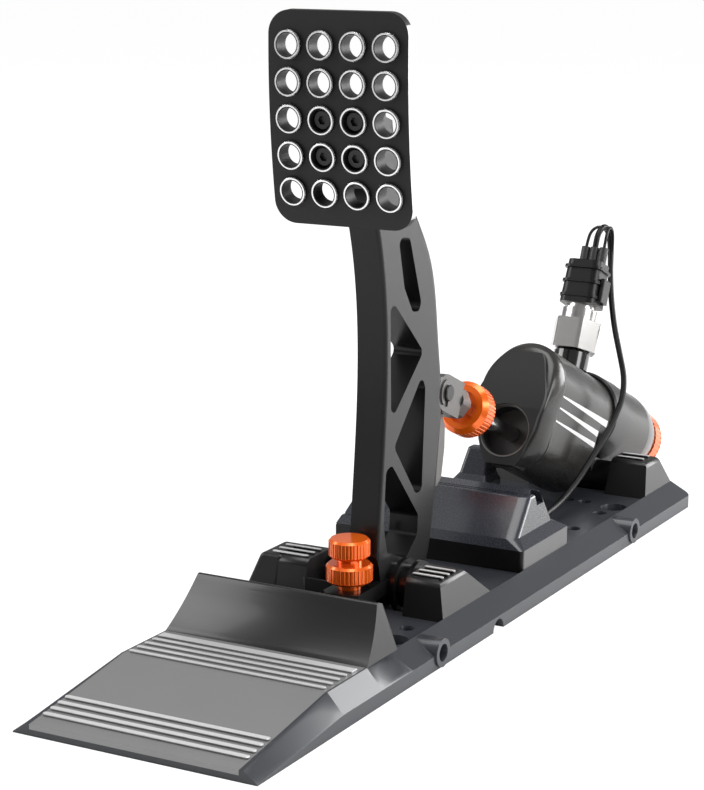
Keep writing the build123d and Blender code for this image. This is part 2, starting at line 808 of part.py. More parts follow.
with BuildPart() as arm:
    with BuildSketch(Plane.YZ):
        with BuildLine():
            front = Spline(*[from_pivot(share) for share in front_edge_shares])
            head_low = side(head_bottom_run, head_bottom_height)
            head_high = side(head_top_run, head_top_height)
            Polyline(front @ 1, head_low, head_high, from_pivot(rear_edge_shares[0]))
            rear = Spline(*[from_pivot(share) for share in rear_edge_shares])
            Polyline(rear @ 1, *[from_pivot(share) for share in foot_shares], front @ 0)
        make_face()
    extrude(amount=arm_thickness / 2, both=True)
    long_edges = arm.edges().filter_by(GeomType.BSPLINE)
    fillet(long_edges.sort_by(Axis.Y)[-2:], arm_edge_round)
    front_edges = arm.edges().filter_by(GeomType.BSPLINE).sort_by(Axis.Y)[:2]
    fillet(front_edges, arm_front_round)
    with BuildSketch(Plane.YZ):
        for shares in window_shares:
            with BuildLine():
                Polyline(*[from_pivot(share) for share in shares], close=True)
            make_face()
        fillet(vertices(), window_round)
    extrude(amount=arm_thickness, both=True, mode=Mode.SUBTRACT)
    with BuildSketch(Plane.YZ):
        with BuildLine():
            Polyline(
                head_low, head_high, (head_high[0] + head_depth, head_high[1]),
                (head_low[0] + head_depth, head_low[1]), close=True,
            )
        make_face()
    extrude(amount=head_width / 2, both=True)
    add(rod_x(pivot_point, hub_radius, -hub_length / 2, hub_length / 2))
    for disc in disc_sides:
        add(rod_x(pivot_point, disc_radius, disc, disc + disc_thickness))
    with BuildSketch(Plane.XY.offset(toe_bottom)):
        with Locations((0, front_edge + (toe_start + toe_end) / 2)):
            Rectangle(toe_width, toe_end - toe_start)
        chamfer(vertices().group_by(Axis.Y)[0], toe_chamfer)
    extrude(amount=toe_top - toe_bottom)
    bush_bore = arm_pin_radius + running_gap + bush_wall
    add(rod_x(pivot_point, bush_bore, -hub_length, hub_length), mode=Mode.SUBTRACT)
    with BuildSketch(Plane.XY.offset(toe_bottom - overrun)):
        with Locations((0, front_edge + knob_run)):
            Circle(stem_radius + running_gap)
    extrude(amount=toe_top, mode=Mode.SUBTRACT)
    scallop_radius = cheek_width / 2 + 2 * free_gap
    add(rod_x(clevis_point, scallop_radius, -arm_thickness, arm_thickness), mode=Mode.SUBTRACT)
    with BuildSketch(Plane.YZ):
        with BuildLine():
            Polyline(*[from_pivot(share) for share in tongue_shares + tongue_top_shares], close=True)
        make_face()
        with Locations(clevis_point):
            Circle(eye_radius)
    extrude(amount=tongue_thickness / 2, both=True, mode=Mode.SUBTRACT)
    for rise in screw_rises:
        seat = pad_plane(rise, collar_length - collar_proud)
        with BuildSketch(seat):
            with Locations(*[(across, 0) for across in screw_sides]):
                Circle(collar_radius + free_gap)
        extrude(amount=head_depth, mode=Mode.SUBTRACT)
        with BuildSketch(seat):
            with Locations(*[(across, 0) for across in screw_sides]):
                Circle(pad_screw_radius)
        extrude(amount=-(pad_screw_length - collar_length + screw_seat_depth), mode=Mode.SUBTRACT)
save(arm, "arm")

with BuildPart() as clevis_tongue:
    with BuildSketch(Plane.YZ):
        with BuildLine():
            Polyline(*[from_pivot(share) for share in tongue_shares + tongue_top_shares], close=True)
        make_face()
        with Locations(clevis_point):
            Circle(eye_radius)
            Circle(clevis_pin_radius + pivot_play, mode=Mode.SUBTRACT)
    extrude(amount=tongue_thickness / 2, both=True)
save(clevis_tongue, "clevis_tongue")

# Return spring: one wire of two straight legs and a helix made of tangent arcs, a quarter turn at a time


def helix_point(turn):
    """Centre of the wire after this many turns, which start below the pivot and go to the rear."""
    angle = radians(270) + 2 * pi * turn
    across = coil_start_side + (coil_end_side - coil_start_side) * turn / coil_turns
    return Vector(across, pivot_y + coil_radius * cos(angle), pivot_height + coil_radius * sin(angle))


def helix_tangent(turn):
    """Direction of the wire after this many turns."""
    angle = radians(270) + 2 * pi * turn
    pitch = (coil_end_side - coil_start_side) / coil_turns
    around = 2 * pi * coil_radius
    return Vector(pitch, -around * sin(angle), around * cos(angle)).normalized()


def biarc_joint(start, start_tangent, end, end_tangent):
    """The point where two arcs that fit both ends meet, and the tangent there."""
    chord = end - start
    total = start_tangent + end_tangent
    square = 4 - total.dot(total)
    middle = chord.dot(total)
    reach = (-middle + sqrt(middle**2 + square * chord.dot(chord))) / square
    first = start + start_tangent * reach
    second = end - end_tangent * reach
    return (first + second) * 0.5, (second - first).normalized()


quarter_turns = round(coil_turns * 4)
with BuildPart() as return_spring:
    with BuildLine() as wire_path:
        first = helix_point(0)
        last = helix_point(coil_turns)
        Line(first - helix_tangent(0) * floor_leg, first)
        for quarter in range(quarter_turns):
            start = helix_point(quarter / 4)
            end = helix_point((quarter + 1) / 4)
            start_tangent = helix_tangent(quarter / 4)
            joint, joint_tangent = biarc_joint(start, start_tangent, end, helix_tangent((quarter + 1) / 4))
            TangentArc(start, joint, tangent=start_tangent)
            TangentArc(joint, end, tangent=joint_tangent)
        Line(last, last + helix_tangent(coil_turns) * arm_leg)
    with BuildSketch(Plane(origin=wire_path.line @ 0, z_dir=wire_path.line % 0)):
        Circle(wire_radius)
    sweep(path=wire_path.line)
save(return_spring, "return_spring")
wire_points = [helix_point(index * coil_turns / 400) for index in range(401)]
least_gap = min(
    (wire_points[a] - wire_points[b]).length - 2 * wire_radius
    for a in range(401) for b in range(a + 60, 401)
)
print(f"return spring: least gap between turns {least_gap:.2f} mm")

# Knobs of the rest position adjuster


def flutes(count, radius, plane, length):
    """Grooves round the rim of a knob, as one cutter."""
    with BuildPart() as cutter:
        with BuildSketch(plane):
            with PolarLocations(radius, count):
                Circle(flute_radius)
        extrude(amount=length)
    return cutter.part


def knob(plane, radius, length, grooves):
    """A round knob with chamfered rims and a fluted edge."""
    with BuildPart() as body:
        with BuildSketch(plane):
            Circle(radius)
        extrude(amount=length)
        chamfer(body.edges().filter_by(GeomType.CIRCLE), knob_chamfer)
        inner = Plane(origin=plane.origin + plane.z_dir * knob_chamfer, x_dir=plane.x_dir, z_dir=plane.z_dir)
        add(flutes(grooves, radius + flute_radius / 2, inner, length - 2 * knob_chamfer), mode=Mode.SUBTRACT)
    return body.part


def knob_plane(height):
    """A level plane on the adjuster's axis."""
    return Plane(origin=(0, front_edge + knob_run, height))


with BuildPart() as stop_screw:
    add(knob(knob_plane(upper_knob_bottom), upper_knob_radius, upper_knob_top - upper_knob_bottom, flute_count))
    with BuildSketch(knob_plane(lower_knob_top)):
        Circle(neck_radius)
    extrude(amount=upper_knob_bottom - lower_knob_top)
    with BuildSketch(knob_plane(deck_height + stem_bottom_gap)):
        Circle(stem_radius)
    extrude(amount=upper_knob_bottom - deck_height)
save(stop_screw, "stop_screw")

with BuildPart() as stop_lock_nut:
    add(knob(knob_plane(lower_knob_bottom), lower_knob_radius, lower_knob_top - lower_knob_bottom, flute_count))
    with BuildSketch(knob_plane(lower_neck_bottom)):
        Circle(lower_neck_radius)
    extrude(amount=lower_knob_bottom - lower_neck_bottom)
    with BuildSketch(knob_plane(lower_neck_bottom)):
        Circle(stem_radius + running_gap)
    extrude(amount=lower_knob_top, mode=Mode.SUBTRACT)
save(stop_lock_nut, "stop_lock_nut")

# Pad: a bowed plate with rows of collared holes

with BuildPart() as pad:
    with BuildSketch(pad_side):
        with BuildLine():
            half = pad_height / 2 + overrun
            sag = half**2 / (2 * pad_bow_radius)
            face = ThreePointArc((sag, -half), (0, 0), (sag, half))
            back = ThreePointArc((sag + pad_thickness, half), (pad_thickness, 0), (sag + pad_thickness, -half))
            Line(face @ 1, back @ 0)
            Line(back @ 1, face @ 0)
        make_face()
    extrude(amount=pad_width / 2, both=True)
    with BuildSketch(Plane(origin=pad_side.origin, x_dir=(1, 0, 0), z_dir=-pad_side.x_dir)):
        RectangleRounded(pad_width, pad_height, pad_corner)
    extrude(amount=pad_height, both=True, mode=Mode.INTERSECT)
    for rise in pad_rises:
        with BuildSketch(pad_plane(rise, collar_length - collar_proud)):
            with Locations(*[(across, 0) for across in pad_sides]):
                Circle(collar_radius)
        extrude(amount=collar_length)
    for rise in pad_rises:
        with BuildSketch(pad_plane(rise, -collar_proud)):
            with Locations(*[(across, 0) for across in pad_sides]):
                Circle(collar_bore_radius)
        extrude(amount=-screw_seat_depth, mode=Mode.SUBTRACT)
        open_sides = [across for across in pad_sides if not (rise in screw_rises and across in screw_sides)]
        with BuildSketch(pad_plane(rise, -collar_proud)):
            with Locations(*[(across, 0) for across in open_sides]):
                Circle(collar_bore_radius)
            if rise in screw_rises:
                with Locations(*[(across, 0) for across in screw_sides]):
                    Circle(pad_screw_radius + running_gap)
        extrude(amount=-collar_length - overrun, mode=Mode.SUBTRACT)
save(pad, "pad")

with BuildPart() as pad_screws:
    for rise in screw_rises:
        seat = pad_plane(rise, screw_seat_depth - collar_proud)
        with BuildSketch(seat):
            with Locations(*[(across, 0) for across in screw_sides]):
                Circle(pad_screw_head_radius)
        extrude(amount=pad_screw_head_height)
        with BuildSketch(seat):
            with Locations(*[(across, 0) for across in screw_sides]):
                Circle(pad_screw_radius)
        extrude(amount=-(pad_screw_length - screw_seat_depth))
        with BuildSketch(pad_plane(rise, screw_seat_depth - collar_proud - pad_screw_head_height)):
            with Locations(*[(across, 0) for across in screw_sides]):
                RegularPolygon(socket_width, 6)
        extrude(amount=-socket_depth, mode=Mode.SUBTRACT)
save(pad_screws, "pad_screws")

# Clevis, its pin and clips

with BuildPart() as clevis:
    with BuildSketch(axis_side):
        with Locations((clevis_pin_place, 0)):
            Circle(cheek_width / 2)
        with Locations(((clevis_pin_place + clevis_end_place) / 2, 0)):
            Rectangle(clevis_end_place - clevis_pin_place, cheek_width)
    extrude(amount=cheek_outer, both=True)
    with BuildSketch(axis_side):
        with Locations((clevis_block_place - cheek_width, 0)):
            Rectangle(2 * cheek_width, 2 * cheek_width)
    extrude(amount=cheek_inner, both=True, mode=Mode.SUBTRACT)
    with BuildSketch(axis_side):
        with Locations((clevis_pin_place, 0)):
            Circle(clevis_pin_radius)
    extrude(amount=cheek_width, both=True, mode=Mode.SUBTRACT)
    with BuildSketch(square_to_axis(clevis_block_place - overrun)):
        Circle(rod_radius)
    extrude(amount=cheek_width, mode=Mode.SUBTRACT)
save(clevis, "clevis")

with BuildPart() as clevis_pin:
    add(rod_x(clevis_point, clevis_pin_radius, -clevis_pin_reach, clevis_pin_reach))
    chamfer(clevis_pin.edges().filter_by(GeomType.CIRCLE), running_gap * 8)
save(clevis_pin, "clevis_pin")

with BuildPart() as clevis_clips:
    for hand in (-1, 1):
        with BuildSketch(Plane(origin=axis_side.origin + Vector(hand * cheek_outer, 0, 0), x_dir=axis_direction,
                               z_dir=(1, 0, 0))):
            with Locations((clevis_pin_place, 0)):
                Circle(clip_radius)
                Circle(clevis_pin_radius, mode=Mode.SUBTRACT)
            with Locations((clevis_pin_place, -clip_radius)):
                Rectangle(clevis_pin_radius, 2 * clip_radius - clevis_pin_radius, mode=Mode.SUBTRACT)
        extrude(amount=hand * clip_thickness)
save(clevis_clips, "clevis_clips")

# Push rod with spanner flats, its nut, the fluted ring and the piston

with BuildPart() as push_rod:
    with BuildSketch(square_to_axis(clevis_block_place)):
        Circle(rod_radius)
    extrude(amount=piston_start_place - clevis_block_place)
    for up in (-1, 1):
        with BuildSketch(square_to_axis(flat_start_place)):
            with Locations((0, up * (rod_flat / 2 + rod_radius))):
                Rectangle(3 * rod_radius, 2 * rod_radius)
        extrude(amount=flat_end_place - flat_start_place, mode=Mode.SUBTRACT)
save(push_rod, "push_rod")

with BuildPart() as rod_nut:
    with BuildSketch(square_to_axis(clevis_end_place)):
        RegularPolygon(nut_width / 2, 6, major_radius=False)
    extrude(amount=nut_end_place - clevis_end_place)
    with BuildSketch(square_to_axis(clevis_end_place)):
        Circle(nut_width / 2 + nut_chamfer / 2)
    extrude(amount=nut_end_place - clevis_end_place, mode=Mode.INTERSECT)
    with BuildSketch(square_to_axis(clevis_end_place)):
        Circle(rod_radius)
    extrude(amount=nut_end_place - clevis_end_place, mode=Mode.SUBTRACT)
save(rod_nut, "rod_nut")

ring_length = ring_end_place - ring_start_place
with BuildPart() as adjuster_ring:
    with BuildSketch(square_to_axis(ring_start_place)):
        Circle(ring_radius)
    extrude(amount=ring_length)
    rims = adjuster_ring.edges().filter_by(GeomType.CIRCLE).sort_by(Axis(bore_centre, axis_direction))
    chamfer(rims[0], ring_bevel)
    chamfer(rims[-1], knob_chamfer)
    ring_flutes = flutes(ring_flute_count, ring_radius + flute_radius / 2,
                         square_to_axis(ring_start_place + ring_bevel), ring_length - ring_bevel - knob_chamfer)
    add(ring_flutes, mode=Mode.SUBTRACT)
    with BuildSketch(square_to_axis(ring_start_place)):
        Circle(ring_recess_radius)
    extrude(amount=ring_recess_depth, mode=Mode.SUBTRACT)
    with BuildSketch(square_to_axis(ring_start_place)):
        Circle(rod_radius + running_gap)
    extrude(amount=ring_length, mode=Mode.SUBTRACT)
save(adjuster_ring, "adjuster_ring")

piston_middle = piston_start_place + (piston_length - piston_ring_width) / 2
with BuildPart() as piston:
    with BuildSketch(square_to_axis(piston_start_place)):
        Circle(piston_radius - running_gap)
    extrude(amount=piston_length)
    with BuildSketch(square_to_axis(piston_middle)):
        Circle(piston_radius + overrun)
        Circle(piston_radius - piston_ring_depth, mode=Mode.SUBTRACT)
    extrude(amount=piston_ring_width, mode=Mode.SUBTRACT)
save(piston, "piston")

with BuildPart() as piston_ring:
    with BuildSketch(square_to_axis(piston_middle)):
        Circle(piston_radius - running_gap)
        Circle(piston_radius - piston_ring_depth, mode=Mode.SUBTRACT)
    extrude(amount=piston_ring_width)
save(piston_ring, "piston_ring")

# Cylinder body: two bores, one above the other, in one drop shaped casting

with BuildPart() as cylinder_body:
    body_start = cover_end_place + free_gap
    with BuildSketch(square_to_axis(body_start)):
        with Locations((0, upper_offset)):
            Circle(upper_body_radius)
        Circle(lower_body_radius)
        make_hull()
    extrude(amount=lower_body_end_place - body_start)
    with BuildSketch(square_to_axis(body_start)):
        with Locations((0, upper_offset)):
            Circle(upper_body_radius)
    extrude(amount=body_end_place + overrun - body_start)
    with BuildSketch(square_to_rear()):
        Circle(2 * upper_body_radius)
    extrude(amount=band_length, mode=Mode.SUBTRACT)
    with BuildSketch(square_to_rear(-band_length / 4)):
        Circle(band_radius - band_wall)
    extrude(amount=band_length * 1.25)
    with BuildSketch(square_to_axis(chamber_start_place)):
        Circle(piston_radius)
    extrude(amount=chamber_end_place - chamber_start_place, mode=Mode.SUBTRACT)
    with BuildSketch(square_to_axis(body_start)):
        Circle(rod_radius + 4 * running_gap)
    extrude(amount=chamber_start_place - body_start, mode=Mode.SUBTRACT)
    with BuildSketch(square_to_axis(slave_start_place, upper_offset)):
        Circle(passage_radius)
    extrude(amount=body_end_place - slave_start_place, mode=Mode.SUBTRACT)
    with BuildSketch(square_to_rear(-band_length / 4)):
        Circle(slave_radius)
    extrude(amount=band_length * 1.5, mode=Mode.SUBTRACT)
    with BuildSketch(Plane(origin=along(transfer_place, piston_radius / 2), x_dir=(1, 0, 0), z_dir=axis_up)):
        Circle(transfer_radius)
    extrude(amount=upper_offset / 2, mode=Mode.SUBTRACT)
    with BuildSketch(Plane(origin=along(sensor_place, upper_offset), x_dir=(1, 0, 0), z_dir=axis_up)):
        Circle(transfer_radius)
    extrude(amount=upper_offset, mode=Mode.SUBTRACT)
    with BuildSketch(Plane(origin=along(sensor_place, port_bottom), x_dir=(1, 0, 0), z_dir=axis_up)):
        Circle(port_radius)
    extrude(amount=upper_offset, mode=Mode.SUBTRACT)
save(cylinder_body, "cylinder_body")

with BuildPart() as rod_seal:
    with BuildSketch(square_to_axis(seal_place)):
        Circle(bore_radius - running_gap)
        Circle(rod_radius + 2 * running_gap, mode=Mode.SUBTRACT)
    extrude(amount=seal_thickness)
save(rod_seal, "rod_seal")

with BuildPart() as bore_ring:
    with BuildSketch(square_to_axis(-bore_ring_proud)):
        Circle(bore_radius + bore_ring_wall)
        Circle(bore_radius, mode=Mode.SUBTRACT)
    extrude(amount=bore_ring_length)
save(bore_ring, "bore_ring")

cover_half_outline = [(across * cover_half_width, up * cover_top_offset) for across, up in cover_shares]
cover_face_outline = [(place * cover_top_offset, up * cover_top_offset) for place, up in cover_face_shares]
for hand, name in ((1, "right"), (-1, "left")):
    with BuildPart() as front_cover:
        with BuildSketch(axis_side):
            with BuildLine():
                face = Spline(*cover_face_outline)
                Polyline(
                    face @ 1, (cover_end_place, cover_top_offset), (cover_end_place, cover_bottom_offset),
                    (0, cover_bottom_offset), face @ 0,
                )
            make_face()
        extrude(amount=hand * (cover_half_width + overrun))
        with BuildSketch(square_to_axis(-cover_end_place)):
            with BuildLine():
                right_edge = Spline(*cover_half_outline)
                left_edge = Spline(*[(-across, up) for across, up in cover_half_outline])
                Line(right_edge @ 0, left_edge @ 0)
                Line(right_edge @ 1, left_edge @ 1)
            make_face()
        extrude(amount=3 * cover_end_place, mode=Mode.INTERSECT)
        with BuildSketch(square_to_axis(-cover_end_place)):
            Circle(bore_radius + bore_ring_wall)
        extrude(amount=cover_end_place - bore_ring_proud + bore_ring_length, mode=Mode.SUBTRACT)
        with BuildSketch(square_to_axis(-cover_end_place)):
            Circle(bore_radius)
        extrude(amount=cover_end_place + seal_place + seal_thickness, mode=Mode.SUBTRACT)
        with BuildSketch(square_to_axis(-cover_end_place)):
            Circle(rod_radius + 2 * running_gap)
        extrude(amount=3 * cover_end_place, mode=Mode.SUBTRACT)
    save(front_cover, f"front_cover_{name}")

# Trunnion band with its lug, and the rear housing with its bore for the elastomers

with BuildPart() as trunnion_band:
    with BuildSketch(square_to_rear()):
        Circle(band_radius)
    extrude(amount=band_length)
    chamfer(trunnion_band.edges().filter_by(GeomType.CIRCLE), band_chamfer)
    with BuildSketch(axis_side):
        with BuildLine():
            Polyline(
                (rear_pivot_place - band_length + 2 * overrun, upper_offset / 2),
                (rear_pivot_place - lug_throat, 0), (rear_pivot_place + lug_radius / 2, 0),
                (rear_pivot_place + overrun, upper_offset / 2), close=True,
            )
        make_face()
    extrude(amount=lug_width / 4, both=True)
    add(rod_x(rear_pivot_point, lug_radius, -lug_width / 2, lug_width / 2))
    with BuildSketch(square_to_rear(-band_length)):
        Circle(band_radius - band_wall)
    extrude(amount=3 * band_length, mode=Mode.SUBTRACT)
    with BuildSketch(square_to_rear(band_length)):
        Circle(rear_housing_radius + free_gap)
    extrude(amount=band_length, mode=Mode.SUBTRACT)
    bush_bore = rear_pin_radius + running_gap + rear_bush_wall
    add(rod_x(rear_pivot_point, bush_bore, -lug_width, lug_width), mode=Mode.SUBTRACT)
save(trunnion_band, "trunnion_band")

housing_end = band_length + rear_housing_length
cap_start = housing_end + free_gap
mouth_start = cap_start - cap_spigot_length - free_gap
with BuildPart() as rear_housing:
    with BuildSketch(square_to_rear(band_length)):
        Circle(rear_housing_radius)
    extrude(amount=rear_barrel_length)
    taper_start = band_length + rear_barrel_length
    with BuildSketch(square_to_rear(taper_start)):
        Circle(rear_housing_radius)
    with BuildSketch(square_to_rear((taper_start + housing_end) / 2, rear_axis_rise / 2)):
        Circle((rear_housing_radius + rear_end_radius) / 2 + rear_axis_rise)
    with BuildSketch(square_to_rear(housing_end, rear_axis_rise)):
        Circle(rear_end_radius)
    loft()
    with BuildSketch(square_to_rear(band_length - overrun)):
        Circle(slave_radius)
    extrude(amount=mouth_start + overrun - band_length, mode=Mode.SUBTRACT)
    with BuildSketch(square_to_rear(mouth_start, rear_axis_rise)):
        Circle(slave_radius)
    extrude(amount=housing_end - mouth_start + overrun, mode=Mode.SUBTRACT)
save(rear_housing, "rear_housing")

with BuildPart() as slave_piston:
    with BuildSketch(square_to_rear(band_length - slave_piston_length)):
        Circle(slave_radius - running_gap)
    extrude(amount=slave_piston_length)
save(slave_piston, "slave_piston")

with BuildPart() as elastomers:
    for index in range(elastomer_count):
        with BuildSketch(square_to_rear(band_length + free_gap + index * (elastomer_length + elastomer_gap))):
            Circle(elastomer_radius)
        extrude(amount=elastomer_length)
save(elastomers, "elastomers")

with BuildPart() as rear_cap:
    with BuildSketch(square_to_rear(cap_start, rear_axis_rise)):
        Circle(cap_radius)
    extrude(amount=cap_length)
    chamfer(rear_cap.edges().filter_by(GeomType.CIRCLE).sort_by(Axis(bore_centre, rear_direction))[-1], cap_bevel)
    cap_flutes = flutes(cap_flute_count, cap_radius + flute_radius / 2, square_to_rear(cap_start, rear_axis_rise),
                        cap_length - cap_bevel)
    add(cap_flutes, mode=Mode.SUBTRACT)
    with BuildSketch(square_to_rear(cap_start, rear_axis_rise)):
        Circle(cap_spigot_radius)
    extrude(amount=-cap_spigot_length)
save(rear_cap, "rear_cap")

# Pressure sensor with its port, hexagon and plug


def up_plane(up, shift=0):
    """A plane square to the sensor's axis, this far above the push rod's axis."""
    return Plane(origin=along(sensor_place + shift, up), x_dir=(1, 0, 0), z_dir=axis_up)


with BuildPart() as sensor_port:
    with BuildSketch(up_plane(port_bottom + running_gap)):
        Circle(port_radius - running_gap)
    extrude(amount=port_top - port_bottom - running_gap)
    chamfer(sensor_port.faces().sort_by(Axis(bore_centre, axis_up))[-1].edges(), band_chamfer)
    with BuildSketch(up_plane(port_bottom)):
        Circle(transfer_radius)
    extrude(amount=port_top, mode=Mode.SUBTRACT)
save(sensor_port, "sensor_port")

with BuildPart() as pressure_sensor:
    with BuildSketch(up_plane(port_top)):
        RegularPolygon(hex_width / 2, 6, major_radius=False)
    extrude(amount=hex_top - port_top)
    with BuildSketch(up_plane(port_top)):
        Circle(hex_width / 2 + hex_chamfer)
    extrude(amount=hex_top - port_top, mode=Mode.INTERSECT)
    with BuildSketch(up_plane(hex_top)):
        Circle(shoulder_radius)
    extrude(amount=shoulder_top - hex_top)
    with BuildSketch(up_plane(shoulder_top)):
        Circle(sensor_neck_radius)
    extrude(amount=plug_bottom - shoulder_top)
save(pressure_sensor, "pressure_sensor")

plug_rib_pitch = (plug_top - plug_bottom) / plug_rib_count
with BuildPart() as sensor_plug:
    with BuildSketch(up_plane(plug_bottom)):
        RectangleRounded(plug_width, plug_depth, plug_corner)
    with BuildSketch(up_plane(plug_top)):
        RectangleRounded(plug_width - plug_wall, plug_depth - plug_wall, plug_corner)
    loft()
    for index in range(plug_rib_count):
        with BuildSketch(up_plane(plug_bottom + (index + plug_rib_share) * plug_rib_pitch)):
            RectangleRounded(plug_width + plug_rib_height, plug_depth + plug_rib_height, plug_corner)
        extrude(amount=plug_wall)
    with BuildSketch(up_plane(neck_top)):
        with Locations((plug_width / 2 + latch_thickness / 2 - running_gap, 0)):
            RectangleRounded(latch_thickness, latch_width, latch_thickness / 3)
    extrude(amount=latch_length)
save(sensor_plug, "sensor_plug")

with BuildPart() as wire_seals:
    with BuildSketch(up_plane(plug_top, seal_tube_shift)):
        with GridLocations(seal_tube_pitch, 0, 3, 1):
            Circle(seal_tube_radius)
    extrude(amount=seal_tube_top - plug_top)
save(wire_seals, "wire_seals")

# Sensor lead

lead_path_points = [Vector(across, front_edge + run, height) for across, run, height in lead_points]
lead_runs = [(b - a).length for a, b in zip(lead_path_points, lead_path_points[1:])]
lead_turns = [
    (b - a).get_angle(c - b)
    for a, b, c in zip(lead_path_points, lead_path_points[1:], lead_path_points[2:])
]
lead_radii = [
    bend_share * min(lead_runs[index], lead_runs[index + 1]) / tan(radians(turn) / 2)
    for index, turn in enumerate(lead_turns)
]
print("sensor lead radii:", [round(radius, 1) for radius in lead_radii])
with BuildPart() as sensor_lead:
    with BuildLine() as lead_path:
        FilletPolyline(*lead_path_points, radius=lead_radii)
    with BuildSketch(Plane(origin=lead_path.line @ 0, z_dir=lead_path.line % 0)):
        Circle(lead_radius)
    sweep(path=lead_path.line)
save(sensor_lead, "sensor_lead")
lead_length = lead_path.wire().length
print(f"sensor lead: length {lead_length:.1f} mm, volume {sensor_lead.part.volume:.1f},"
      f" section times length {pi * lead_radius**2 * lead_length:.1f}")

# Electronics housing: a tray, a lid with a sloping front, and the board inside


def level_outline(height, x_min, x_max, run_min, run_max, corner):
    """A rounded rectangle at a height, between two sides and two runs."""
    with BuildSketch(Plane(origin=((x_min + x_max) / 2, front_edge + (run_min + run_max) / 2, height))) as outline:
        RectangleRounded(x_max - x_min, run_max - run_min, corner)
    return outline.sketch


def lid_body(inset):
    """The lid's outer shape, drawn in by an inset on its sides and top."""
    half = box_width / 2 - inset
    ledge_half = half - ledge_inset_side
    top_half = ledge_half - lid_top_inset_side
    ledge_start = box_start + ledge_inset_front + inset
    ledge_end = box_end - ledge_inset_rear - inset
    with BuildPart() as body:
        loft([
            level_outline(box_top, -half, half, box_start + inset, box_end - inset, box_corner),
            level_outline(ledge_height - inset / 3, -ledge_half, ledge_half, ledge_start, ledge_end, lid_corner),
        ], ruled=True)
        loft([
            level_outline(ledge_height - inset / 3, -ledge_half, ledge_half, ledge_start, ledge_end, lid_corner),
            level_outline(lid_top_height - inset, -top_half, top_half, ledge_start + lid_top_inset_front,
                          ledge_end - lid_top_inset_rear + inset / 2, lid_corner),
        ], ruled=True)
    return body


with BuildPart() as housing_box:
    with BuildSketch(Plane.XY.offset(deck_height)):
        with Locations((0, front_edge + (box_start + box_end) / 2)):
            RectangleRounded(box_width, box_end - box_start, box_corner)
    extrude(amount=box_top - deck_height)
    with BuildSketch(Plane.XY.offset(deck_height + box_wall)):
        with Locations((0, front_edge + (box_start + box_end) / 2)):
            RectangleRounded(box_width - 2 * box_wall, box_end - box_start - 2 * box_wall, box_corner)
    extrude(amount=box_top, mode=Mode.SUBTRACT)
    with BuildSketch(Plane.XZ.offset(-front_edge - box_end - overrun)):
        with Locations((gland_side, gland_height)):
            Circle(gland_bore_radius + box_wall / 4)
    extrude(amount=box_wall + 2 * overrun, mode=Mode.SUBTRACT)
save(housing_box, "housing_box")

with BuildPart() as housing_lid:
    add(lid_body(0).part)
    top_edges = housing_lid.faces().sort_by(Axis.Z)[-1].edges()
    fillet(top_edges, lid_top_round)
    add(lid_body(lid_wall).part, mode=Mode.SUBTRACT)
    lid_line_run = box_start + ledge_inset_front + lid_top_inset_front + lid_top_round + line_gap
    with BuildSketch(Plane.XY.offset(lid_top_height - line_depth)):
        for index in range(2):
            with Locations((0, front_edge + lid_line_run + index * (line_width + line_gap))):
                Rectangle(line_reach, line_width)
    extrude(amount=line_depth + overrun, mode=Mode.SUBTRACT)
    with BuildSketch(Plane.XY.offset(lid_top_height - slot_depth)):
        slot_middle = (box_start + ledge_inset_front + lid_top_inset_front + box_end - ledge_inset_rear) / 2
        with Locations((box_width / 2 - ledge_inset_side - lid_top_inset_side, front_edge + slot_middle)):
            RectangleRounded(slot_width, slot_length, lid_top_round)
    extrude(amount=slot_depth + overrun, mode=Mode.SUBTRACT)
save(housing_lid, "housing_lid")

with BuildPart() as control_board:
    board_middle = front_edge + (box_start + box_end) / 2
    with BuildSketch(Plane.XY.offset(board_height)):
        with Locations((-box_wall, board_middle - box_wall)):
            Rectangle(box_width / 2, (box_end - box_start) / 2)
    extrude(amount=board_thickness)
    with BuildSketch(Plane.XY.offset(board_height + board_thickness)):
        with Locations((-box_wall, board_middle - box_wall)):
            with GridLocations(box_width / 6, box_width / 8, 2, 2):
                Rectangle(box_width / 12, box_width / 14)
    extrude(amount=chip_height)
    with BuildSketch(Plane.XY.offset(deck_height + box_wall)):
        with Locations((-box_wall, board_middle - box_wall)):
            with GridLocations(box_width / 3, (box_end - box_start) / 3, 2, 2):
                Circle(box_wall)
    extrude(amount=board_height - deck_height - box_wall)
save(control_board, "control_board")

with BuildPart() as cable_gland:
    with BuildSketch(Plane.XZ.offset(-front_edge - box_end - box_wall / 2)):
        with Locations((gland_side, gland_height)):
            Circle(gland_radius)
            Circle(gland_bore_radius, mode=Mode.SUBTRACT)
    extrude(amount=box_wall / 2)
    with BuildSketch(Plane.XZ.offset(-front_edge - box_end)):
        with Locations((gland_side, gland_height)):
            Circle(gland_bore_radius + box_wall / 4)
            Circle(gland_bore_radius, mode=Mode.SUBTRACT)
    extrude(amount=box_wall)
save(cable_gland, "cable_gland")

# Socket box, with the same wall, ledge and raised top as the housing

box_left = -box_width / 2
socket_right = -socket_inner
with BuildPart() as socket_box:
    with BuildSketch(Plane.XY.offset(deck_height)):
        with Locations(((box_left + socket_right) / 2, front_edge + (socket_start + socket_end) / 2)):
            RectangleRounded(socket_right - box_left, socket_end - socket_start, box_corner)
    extrude(amount=box_top - deck_height)
save(socket_box, "socket_box")

